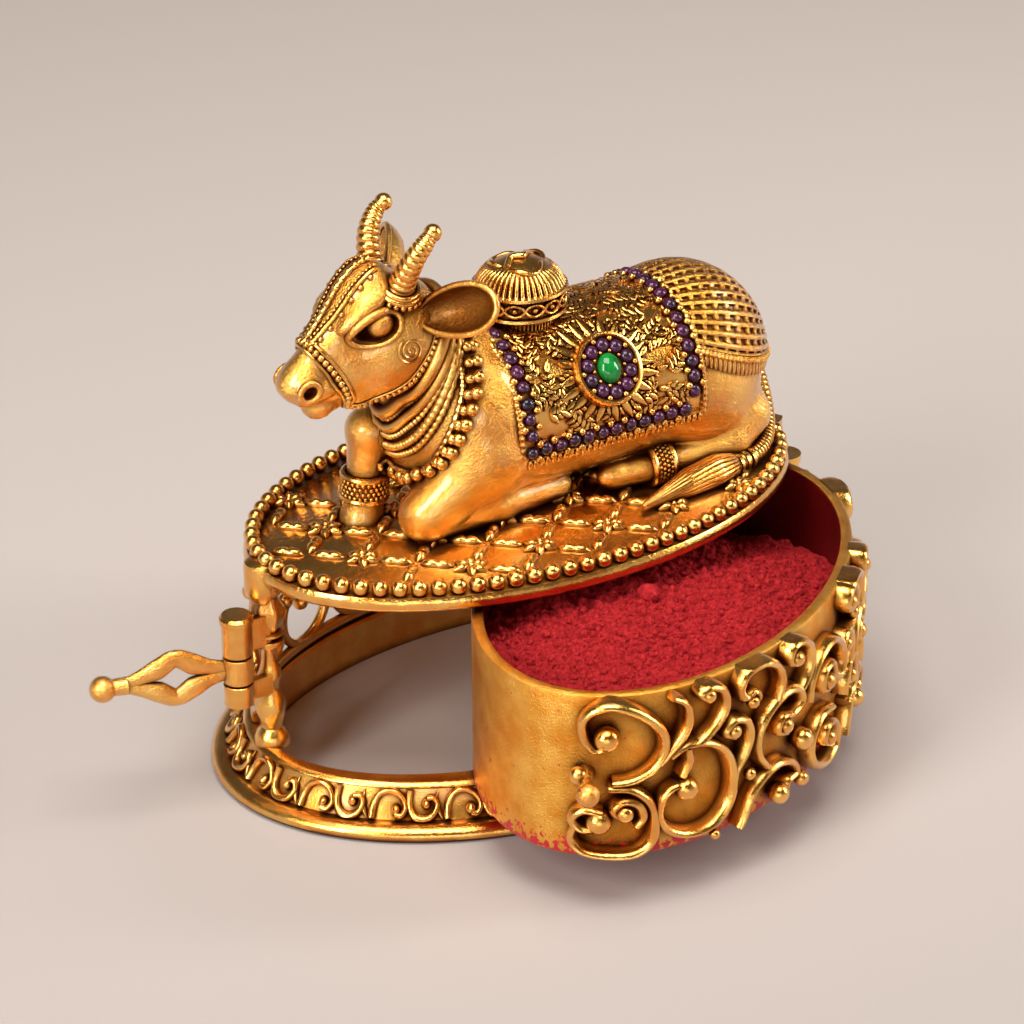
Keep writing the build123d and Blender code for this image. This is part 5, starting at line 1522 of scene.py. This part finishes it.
# %% Medallions
MEDAL_UP = math.radians(32)
MEDAL_EDGE = [(0.02, 0.25), (3.3, 0.25), (3.55, 0.4), (3.62, 0.7), (3.8, 0.88), (4.0, 0.85),
              (4.15, 0.6), (4.2, 0.2), (4.15, -1.6), (0.02, -1.6)]
medal_names = {-1: "left", 1: "right"}
ring_stones = Mould()
for hand in (-1, 1):
    out = np.array([0, hand * math.cos(MEDAL_UP), math.sin(MEDAL_UP)])
    long_way = np.array([1.0, 0, 0])
    rise_way = np.array([0, -hand * math.sin(MEDAL_UP), math.cos(MEDAL_UP)])
    heart = np.array([MEDAL_X, 0, TRUNK_Z]) + out * 10.75
    turn = np.linspace(0, 2 * np.pi, 64, endpoint=False)
    circle = np.cos(turn)[:, None] * long_way + np.sin(turn)[:, None] * rise_way
    medal = Mould()
    layers = [heart + circle * reach + out * lift for reach, lift in MEDAL_EDGE]
    medal.add(np.stack(layers), weave(len(layers), 64, False, True))
    for i in range(10):
        t = math.radians(36 * (i + 0.5))
        way = math.cos(t) * long_way + math.sin(t) * rise_way
        seat = heart + way * 2.68 + out * 0.42
        ball(ring_stones, seat, 0.80, way=out, stretch=(1, 1, 0.8), around=14, tall=9)
        t += math.radians(18)
        way = math.cos(t) * long_way + math.sin(t) * rise_way
        ball(medal, heart + way * 3.36 + out * 0.5, 0.36, around=10, tall=7)
        ball(medal, heart + way * 1.95 + out * 0.55, 0.24, around=8, tall=6)
    cast("medallion_" + medal_names[hand] + "_ring", medal, antique_gold, "frame", "antique_gold",
         "medallion_" + medal_names[hand])
    gem = Mould()
    rise = np.linspace(-0.3, 1, 10) * np.pi / 2
    dome = [heart + out * (0.55 + 1.05 * math.sin(r)) + math.cos(r) * (
        1.38 * np.cos(turn)[:, None] * long_way + 1.72 * np.sin(turn)[:, None] * rise_way) for r in rise]
    gem.add(np.stack(dome), weave(len(dome), 64, False, True))
    gem.faces.append(np.arange(64)[None, :])
    cast("cabochon_" + medal_names[hand] + "_gem", gem, green_stone, "frame", "green_stone",
         "cabochon_" + medal_names[hand])
cast("medallion_beads", ring_stones, purple_stone, "frame", "purple_stone", "medallion_stones")

# %% [markdown]
# The rump wears a cover with rows of small pits between ribs. Its points are found by looking inwards
# from all sides until the bull's skin is met, and then lifted by the pattern. A cord and a fringe end it.

# %% Rump cover
COVER_START = np.array([17.3, 0.0, 39.4])


def meet_skin(start, ways, lift):
    reach = np.full(len(ways), 15.0)
    for _ in range(50):
        reach -= 0.8 * (depth_at(bull, start + ways * reach[:, None]) - lift)
    return start + ways * reach[:, None]


def cover_way(back, share):
    hem = np.radians(62 + 22 * np.sin(np.clip(back / np.radians(70), 0, 1) * np.pi / 2))
    around = share * hem
    return np.stack([np.sin(back), -np.cos(back) * np.sin(around), np.cos(back) * np.cos(around)], -1)


ROWS = 190
COLUMNS = 340
back = np.repeat(np.linspace(0.0, np.radians(88), ROWS)[:, None], COLUMNS, 1)
share = np.repeat(np.linspace(-1, 1, COLUMNS)[None, :], ROWS, 0)
ways = cover_way(back, share).reshape(-1, 3)
line = np.abs(share) * 10
beside = np.abs(line % 1 - 0.5)
dash = np.sin(np.degrees(back) * 0.9 + np.floor(line) * 2.2)
pit = (beside < 0.24) & (dash > -0.35)
scale = 0.30 + 0.12 * np.cos(2 * np.pi * line) - 0.34 * pit
cover = Mould()
top = meet_skin(COVER_START, ways, 0.45) + ways * scale.reshape(-1, 1)
cover.add(top, weave(ROWS, COLUMNS))
hem_back = np.linspace(0.0, np.radians(86), 120)
for hand in (-1, 1):
    for drop, lift, thick in ((1.0, 0.55, 0.42), (0.955, 0.55, 0.22)):
        hem_ways = cover_way(hem_back, np.full(120, hand * drop))
        cord = meet_skin(COVER_START, hem_ways, lift)
        wire(cover, cord, thick * (1 + 0.18 * np.sin(np.arange(120) * 1.9)), around=8)
    for at in range(3, 112, 4):
        high = meet_skin(COVER_START, cover_way(hem_back[at:at + 1], np.array([hand * 1.02])), 0.4)[0]
        low = meet_skin(COVER_START, cover_way(hem_back[at:at + 1], np.array([hand * 1.13])), 0.25)[0]
        wire(cover, np.linspace(high, low, 5), [0.36, 0.36, 0.34, 0.3, 0.2], around=8)
cast("rump_scales", cover, smooth_gold, "frame", "antique_gold", "rump_cover")

# %% [markdown]
# To lay a line on the skin, every point asks the clay how far off it is and which way leads
# outwards, and moves by that much. A few rounds settle it. A shrinkwrap modifier does the same to a
# finished mesh.

# %% Laying lines on the skin
def outward(clay, points):
    steps = np.eye(3) * 0.3
    slope = np.stack([depth_at(clay, points + step) - depth_at(clay, points - step) for step in steps], -1)
    return slope / np.maximum(np.linalg.norm(slope, axis=1), 1e-6)[:, None]


def settle_on(clay, points, lift, plane=None, rounds=12):
    points = np.asarray(points, float).copy()
    for _ in range(rounds):
        way = outward(clay, points)
        if plane is not None:
            way -= np.outer(way @ plane, plane)
            way /= np.maximum(np.linalg.norm(way, axis=1), 0.3)[:, None]
        points -= way * (depth_at(clay, points) - lift)[:, None] * 0.9
    return points


print("lines can be laid on the skin")

# %% [markdown]
# Ropes and bead strings are loops laid round the neck and then settled on the skin, so that they
# follow its curve. The innermost are plain and twisted ropes, the outermost carries hanging beads.

# %% Neck ropes
def loop_between(top, bottom, count, lift):
    top = np.array([top[0], 0.0, top[1]])
    bottom = np.array([bottom[0], 0.0, bottom[1]])
    ahead = (top - bottom) / np.linalg.norm(top - bottom)
    normal = np.cross(ahead, SIDE_WAY)
    turn = np.linspace(0, 2 * np.pi, count, endpoint=False)
    reach = 0.42 * np.linalg.norm(top - bottom)
    loop = (top + bottom) / 2 + reach * np.cos(turn)[:, None] * ahead + 3.0 * np.sin(turn)[:, None] * SIDE_WAY
    return settle_on(bull, loop, lift, plane=normal, rounds=40)


ropes = Mould()
FIRST_ROPE = ((-10.6, 57.0), (-17.9, 43.2))
LAST_ROPE = ((-9.6, 54.0), (-17.4, 36.4))
ROPE_SIZES = ((0.75, 0.0), (0.42, 0.16), (0.60, 0.0), (0.42, 0.16), (0.55, 0.10), (0.42, 0.16))
for i, (thick, twist) in enumerate(ROPE_SIZES):
    share = i / (len(ROPE_SIZES) - 1)
    top = [a + share * (b - a) for a, b in zip(FIRST_ROPE[0], LAST_ROPE[0])]
    bottom = [a + share * (b - a) for a, b in zip(FIRST_ROPE[1], LAST_ROPE[1])]
    loop = loop_between(top, bottom, 280, thick * 0.45)
    strands = 1 + twist * np.sin(np.arange(280) * 2 * np.pi * 70 / 280)
    wire(ropes, loop, thick * strands, around=10, closed=True)
cast("neck_ropes", ropes, dark_gold, "frame", "antique_gold", "neck_garlands")

# %% [markdown]
# Behind the ropes lies a string of small beads, with a row of larger ones beside it and a twisted
# cord along its front. The beads are set by equal steps along the settled string.

# %% Bead necklace
necklace = Mould()
NECKLACE = [(-8.4, 0.0, 53.4), (-9.4, -3.8, 52.8), (-10.6, -6.2, 50.4), (-11.6, -7.6, 45.6),
            (-13.6, -7.2, 40.4), (-15.5, -4.8, 36.2), (-16.6, 0.0, 34.4)]
half = smooth_through(NECKLACE, 200)
string = np.concatenate([half, half[-2:0:-1] * (1, -1, 1)])
string = settle_on(bull, string, 0.55)
walk = np.concatenate([[0], np.cumsum(np.linalg.norm(np.diff(string, axis=0), axis=1))])
BEAD_STEP = 1.75
for at in np.arange(0, walk[-1] - BEAD_STEP / 2, BEAD_STEP):
    spot = np.array([np.interp(at, walk, string[:, k]) for k in range(3)])
    ball(necklace, spot, 0.62, around=14, tall=9)
    hang = settle_on(bull, (spot + (1.0, 0.0, -0.1))[None, :], 0.45)[0]
    ball(necklace, hang, 0.78, around=14, tall=9)
cord = settle_on(bull, string + (-0.85, 0, 0.3), 0.2)
wire(necklace, cord, 0.36 * (1 + 0.18 * np.sin(np.arange(len(cord)) * 1.1)), around=8, closed=True)
cast("necklace_beads", necklace, antique_gold, "frame", "antique_gold", "bead_necklace")

# %% [markdown]
# The halter is a band of beads round the nose, a beaded strap along each jaw, and a plate
# with fine beads from the forehead down the nose. All of it is drawn in the head's own directions
# and then laid on the skin, so it stays on if the head is shaped anew.

# %% Noseband
halter = Mould()


def bead_line(mould, path, size, step):
    walk = np.concatenate([[0], np.cumsum(np.linalg.norm(np.diff(path, axis=0), axis=1))])
    for at in np.arange(0, walk[-1], step):
        spot = np.array([np.interp(at, walk, path[:, k]) for k in range(3)])
        ball(mould, spot, size, around=10, tall=7)


turn = np.linspace(0, 2 * np.pi, 120)


def noseband(shift):
    up = np.sin(turn)
    return settle_on(bull, on_head(6.4 + shift - 0.15 * up, 3.6 * np.cos(turn), -0.3 + 4.6 * up), 0.15)


bead_line(halter, noseband(0.0), 0.42, 0.74)
for shift in (-0.62, 0.62):
    wire(halter, noseband(shift)[:-1], 0.20, around=8, closed=True)
print("noseband laid:", halter.count, "points")

# %% [markdown]
# A beaded strap runs along each jaw, with a plain edge on either side. On the forehead, fine lines
# and grains frame a plate with a ridge down the middle, and a small curl is drawn on each cheek.

# %% Straps and forehead plate
JAW_STRAP = [(6.5, 2.2, -4.6), (4.6, 3.2, -5.6), (1.7, 4.6, -6.0), (-0.1, 5.1, -5.8),
             (-1.8, 5.3, -5.3), (-3.5, 5.3, -4.6), (-5.0, 5.1, -3.6), (-6.2, 4.8, -2.4)]
FACE_PLATE = [(-4.8, 2.0, 6.0), (-1.6, 2.3, 6.4), (1.6, 1.9, 5.4), (4.6, 1.2, 4.2), (6.0, 0.9, 3.8)]


def scroll_path(spot, size, mouth, hand, turns=1.25, count=40, core=0.28):
    t = np.linspace(0, 1, count)
    reach = size * (1 - (1 - core) * t**1.15)
    turn = math.radians(mouth) + hand * t * turns * 2 * np.pi
    return np.stack([spot[0] + reach * np.cos(turn), spot[1] + reach * np.sin(turn)], -1)


for hand in (-1, 1):
    strap = smooth_through(JAW_STRAP, 90)
    strap = settle_on(bull, on_head(strap[:, 0], hand * strap[:, 1], strap[:, 2]), 0.15)
    bead_line(halter, strap, 0.38, 0.68)
    for lower, thick in ((-0.58, 0.22), (0.50, 0.14)):
        edge = settle_on(bull, strap + CROWN_WAY * lower - NOSE_WAY * lower * 0.4, 0.1)
        wire(halter, edge, thick, around=8)
    plate = smooth_through(FACE_PLATE, 60)
    plate = settle_on(bull, on_head(plate[:, 0], hand * plate[:, 1], plate[:, 2]), 0.08)
    wire(halter, plate, 0.26, around=8)
    bead_line(halter, settle_on(bull, plate - SIDE_WAY * hand * 0.55, 0.1), 0.22, 0.55)
    for at in range(6, 56, 8):
        stud_spot = settle_on(bull, (plate[at] + SIDE_WAY * hand * 0.55)[None, :], 0.08)[0]
        ball(halter, stud_spot, 0.34, around=8, tall=6)
    curl = scroll_path((-1.4, -2.6), 1.5, 90, hand, turns=2.4, count=70, core=0.1)
    curl = settle_on(bull, on_head(curl[:, 0], np.full(70, 5.4 * hand), curl[:, 1]), 0.02)
    wire(halter, curl, 0.16, around=8)
ridge = settle_on(bull, on_head(np.linspace(-5.4, 6.0, 60), np.zeros(60), np.linspace(6.6, 4.0, 60)), 0.05)
wire(halter, ridge, 0.42 + 0.10 * np.sin(np.arange(60) * 1.3), around=10)
cast("halter_beads", halter, antique_gold, "frame", "antique_gold", "halter")

# %% [markdown]
# Anklets are sleeves of fine beads in rows between two plain rings. A texture could carry beads this
# small, but the rows show against the deck, so they are balls on a turned sleeve.

# %% Anklets
anklet = Mould()


def bead_sleeve(spot, way, inner, length, rows):
    side, other, axis = frame_of(way)
    spot = np.asarray(spot, float)
    sleeve = [(inner - 0.3, 0), (inner + 0.28, 0), (inner + 0.28, length), (inner - 0.3, length)]
    turned(anklet, sleeve, spot, way, around=36)
    turn = np.linspace(0, 2 * np.pi, 26, endpoint=False)
    for row in range(rows):
        lift = length * (row + 0.5) / rows
        for t in turn + 0.12 * (row % 2):
            ball(anklet, spot + axis * lift + (inner + 0.30) * (math.cos(t) * side + math.sin(t) * other),
                 length / rows * 0.5, around=8, tall=6)
    ring_turn = np.linspace(0, 2 * np.pi, 36, endpoint=False)
    for lift in (-0.2, length + 0.2):
        ring = spot + axis * lift + (inner + 0.25) * (np.cos(ring_turn)[:, None] * side
                                                      + np.sin(ring_turn)[:, None] * other)
        wire(anklet, ring, 0.36, around=8, closed=True)


bead_sleeve((-18.2, 3.9, 30.9), (0.06, 0, 1), 2.25, 2.2, 4)
for hand in (-1, 1):
    bead_sleeve((12.9, 6.5 * hand, 30.2), (0.99, 0.09 * hand, 0.03), 2.0, 2.0, 4)
cast("anklet_beads", anklet, antique_gold, "frame", "antique_gold", "anklets")

# %% [markdown]
# The tail comes down from the rump, bends along the deck behind the leg and ends in a tuft. It is a
# ringed wire, and eleven thinner wires twist round a swelling core for the strands of the tuft.

# %% Tail
TAIL = [(29.4, -0.8, 39.6), (30.4, -3.0, 35.0), (29.3, -6.2, 31.0), (26.4, -8.8, 29.4), (21.6, -10.4, 29.2)]
tail = Mould()
path = smooth_through(TAIL, 241)
thick = 0.98 + 0.14 * np.abs(np.sin(np.arange(241) * np.pi / 7)) ** 0.6
wire(tail, path, thick, around=18)
TUFT = [(22.6, -10.2, 29.2), (20.6, -10.5, 29.4), (17.0, -11.0, 29.5), (13.0, -11.6, 29.3),
        (8.0, -12.4, 28.7)]
core = smooth_through(TUFT, 60)
swell = np.interp(np.linspace(0, 1, 60), [0, 0.12, 0.35, 0.65, 1], [0.85, 1.3, 1.8, 1.5, 0.35])
wire(tail, core, swell * 0.8, around=18)
side_way = np.array([0.16, 0.98, 0.0])
UPRIGHT = np.array([0, 0, 1.0])
for strand in range(11):
    lean = math.radians(-30 + 24 * strand)
    twist = np.linspace(0, 0.9, 60)
    offset = np.cos(lean + twist)[:, None] * side_way + np.sin(lean + twist)[:, None] * UPRIGHT
    wire(tail, core + offset * (swell * 0.76)[:, None], swell * 0.30 + 0.05, around=10)
for at in (205, 217, 229):
    wire(tail, path[at:at + 6], 1.3, around=18)
cast("tail_tuft", tail, antique_gold, "frame", "antique_gold", "tail")

# %% [markdown]
# The latch stands at the end under the bull's head: a small turned post between foot and deck, with a
# smooth tongue over the edge of the deck and two fixed knuckles for the pin. A post like this would
# be cast with its bud, collar and lumps, so it is turned here and the bud is given lobes.

# %% Latch post
LATCH_X = -36.9
LATCH_MID = 16.2
POST = (-32.55, 0.9)
latch_post = Mould()


def bud_lobes(height, turn):
    bud = (height > 19.2) & (height < 23.4)
    lump = (height > 7.6) & (height < 11.6)
    petals = 0.16 * np.abs(np.sin(turn * 3)) ** 2 * bud
    knobs = 0.14 * np.abs(np.sin(turn * 2 + height)) ** 2 * lump
    return 1 - petals - knobs


post_outline = [
    (0.02, 5.0), (2.0, 5.0), (2.0, 5.8), (1.7, 6.5), (1.15, 7.1), (1.35, 7.8), (1.75, 8.8),
    (1.85, 9.6), (1.55, 10.8), (1.0, 11.8), (0.9, 12.4), (1.15, 13.0), (1.4, 13.8), (1.05, 14.8),
    (0.85, 15.6), (0.85, 17.0), (1.1, 17.5), (1.75, 17.7), (1.85, 18.0), (1.75, 18.35), (1.1, 18.5),
    (1.2, 18.8), (1.75, 18.95), (1.75, 19.2), (1.35, 19.4), (1.75, 20.2), (1.95, 21.3), (1.8, 22.3),
    (1.35, 23.1), (1.2, 23.5), (1.6, 24.0), (1.9, 24.6), (1.95, 25.75), (0.02, 25.75)]
turned(latch_post, post_outline, (*POST, 0), around=48, ripple=bud_lobes)
print("post turned:", latch_post.count, "points")

# %% [markdown]
# Two knuckles hold the pin, each joined to the post by a thin web. The tongue is a turned stub that
# reaches over the edge of the deck. It is cut flat on the side towards the bull.

# %% Latch knuckles and tongue
for low, high in ((11.8, 14.4), (18.0, 22.0)):
    knuckle = [(0.85, low), (1.6, low), (1.7, low + 0.1), (1.7, high - 0.1), (1.6, high), (0.85, high)]
    turned(latch_post, knuckle, (LATCH_X, 0, 0), around=48)
    web_x = (LATCH_X + 1.2, POST[0] - 0.4)
    web = [(x, y, z) for x in web_x for y in (-0.45, 0.45) for z in (low + 0.15, high - 0.15)]
    latch_post.add(web, BLOCK_FACES)
tongue = Mould()
turned(tongue, [(0.02, 23.3), (1.4, 23.3), (1.8, 23.9), (2.0, 24.8), (2.0, 27.5), (1.85, 28.0), (1.5, 28.2),
                (0.02, 28.2)], (-33.1, 0.8, 0), around=64)
tongue_points = tongue.all_points()
tongue_points[:, 0] = np.minimum(tongue_points[:, 0], -33.2)
latch_post.add(tongue_points, np.zeros((0, 4), int))
for group in tongue.faces:
    latch_post.faces.append(group + latch_post.count - len(tongue_points))
cast("latch_baluster", latch_post, antique_gold, "frame", "antique_gold", "latch_post")

# %% [markdown]
# The lever is a flat wavy bar. Two strands part from its knuckle, swing apart round a leaf-shaped eye
# and meet again at a ball, which is the grip for the finger.

# %% Latch lever
LEVER_REST = math.radians(165)
LEVER_WAY = np.array([math.cos(LEVER_REST), math.sin(LEVER_REST), 0.0])
LEVER_FACE = np.array([-math.sin(LEVER_REST), math.cos(LEVER_REST), 0.0])


def on_lever(stops, count):
    path = smooth_through(stops, count)
    spots = np.multiply.outer(path[:, 0], LEVER_WAY)
    spots[:, 2] += path[:, 1]
    return spots + (LATCH_X, 0, LATCH_MID)


lever = Mould()
turned(lever, [(0.86, 14.66), (1.6, 14.66), (1.7, 14.76), (1.7, 17.64), (1.6, 17.74), (0.86, 17.74)],
       (LATCH_X, 0, 0), around=48)
STRAND = [(1.5, 0.40), (3.2, 0.75), (5.0, 1.40), (7.0, 2.40), (9.0, 1.40), (10.8, 0.75),
          (12.3, 0.30), (13.8, 0.10)]
STRAND_WIDE = [0.80, 0.90, 1.25, 1.05, 1.25, 0.90, 0.75, 0.70]
for hand in (-1, 1):
    path = on_lever(np.array(STRAND) * (1, hand), 70)
    wide = np.interp(np.linspace(0, 7, 70), np.arange(8), STRAND_WIDE)
    wire(lever, path, wide, around=16, flat=0.68, rise=np.tile(LEVER_FACE, (70, 1)))
grip = on_lever([(12.4, 0.0), (13.6, 0.0), (14.4, 0.0)], 12)
wire(lever, grip, np.linspace(1.05, 0.9, 12), around=16)
ball(lever, on_lever([(15.1, 0.0), (15.2, 0.0)], 2)[0], 1.5, around=28, tall=17)
cast("lever_with_eye", lever, smooth_gold, "latch", "antique_gold", "latch_lever")

# %% [markdown]
# The back wall is pierced: two rows of round scrolls stand between a foot band and a top band. Each
# scroll is a bent wire that runs once round and then curls into itself, ending in a ball.

# %% Gallery wall
GALLERY = (33.3, 20.7)
on_wall = oval_place(GALLERY[0], GALLERY[1], 0.0)
walk_turn = np.radians(np.linspace(0, 180, 1801))
walk_steps = np.hypot(np.diff(GALLERY[0] * np.cos(walk_turn)), np.diff(GALLERY[1] * np.sin(walk_turn)))
walk_length = np.concatenate([[0], np.cumsum(walk_steps)])
wall_from, wall_to = np.interp(np.radians([13.2, 166.8]), walk_turn, walk_length)
gallery = Mould()
for z in (6.2, 24.9):
    along = np.linspace(wall_from, wall_to, 160)
    band = on_wall(along, np.full(160, z), np.zeros(160))
    wire(gallery, band, 0.8, around=14, flat=0.75, rise=on_wall(along, np.full(160, z), np.ones(160)) - band)
BAYS = 9
for bay in range(BAYS):
    turn = math.radians(90 + 144.0 * (bay / (BAYS - 1) - 0.5))
    middle = np.interp(turn, walk_turn, walk_length)
    hand = 1 if bay % 2 else -1
    for z, way in ((10.8, hand), (20.2, -hand)):
        share = np.linspace(0, 1, 90)
        reach = np.interp(share, [0, 0.62, 0.8, 1], [4.25, 4.25, 3.0, 1.6])
        bend = math.radians(90 + 90 * way) - way * np.radians(36 + 470 * share)
        drift = np.interp(share, [0, 0.6, 1], [0, 0, 1.0])
        u = middle + reach * np.cos(bend) + drift * 2.2 * math.cos(math.radians(90 + 90 * way + way * 42))
        v = np.clip(z + reach * np.sin(bend), 5.9, 25.2)
        wire(gallery, on_wall(u, v, np.zeros(90)), np.interp(share, [0, 1], [0.70, 0.5]), around=10)
        for at in (0, 89):
            ball(gallery, on_wall(u[at:at + 1], v[at:at + 1], np.zeros(1))[0], 0.95, around=12, tall=9)
cast("gallery_scrolls", gallery, antique_gold, "frame", "antique_gold", "gallery_wall")

# %% [markdown]
# The two pins and the two hinge brackets are plain rods and straps. The measured model has them as
# they are, so they keep its shape and only get their finish. A piece drawn over them would gain
# nothing.

# %% Pieces that keep their measured shape
MEASURED = ("latch_pin", "hinge_pin", "hinge_bracket_low", "hinge_bracket_high")
for name in MEASURED:
    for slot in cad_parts[name].material_slots:
        slot.material = antique_gold
print("measured pieces finished:", len(MEASURED))
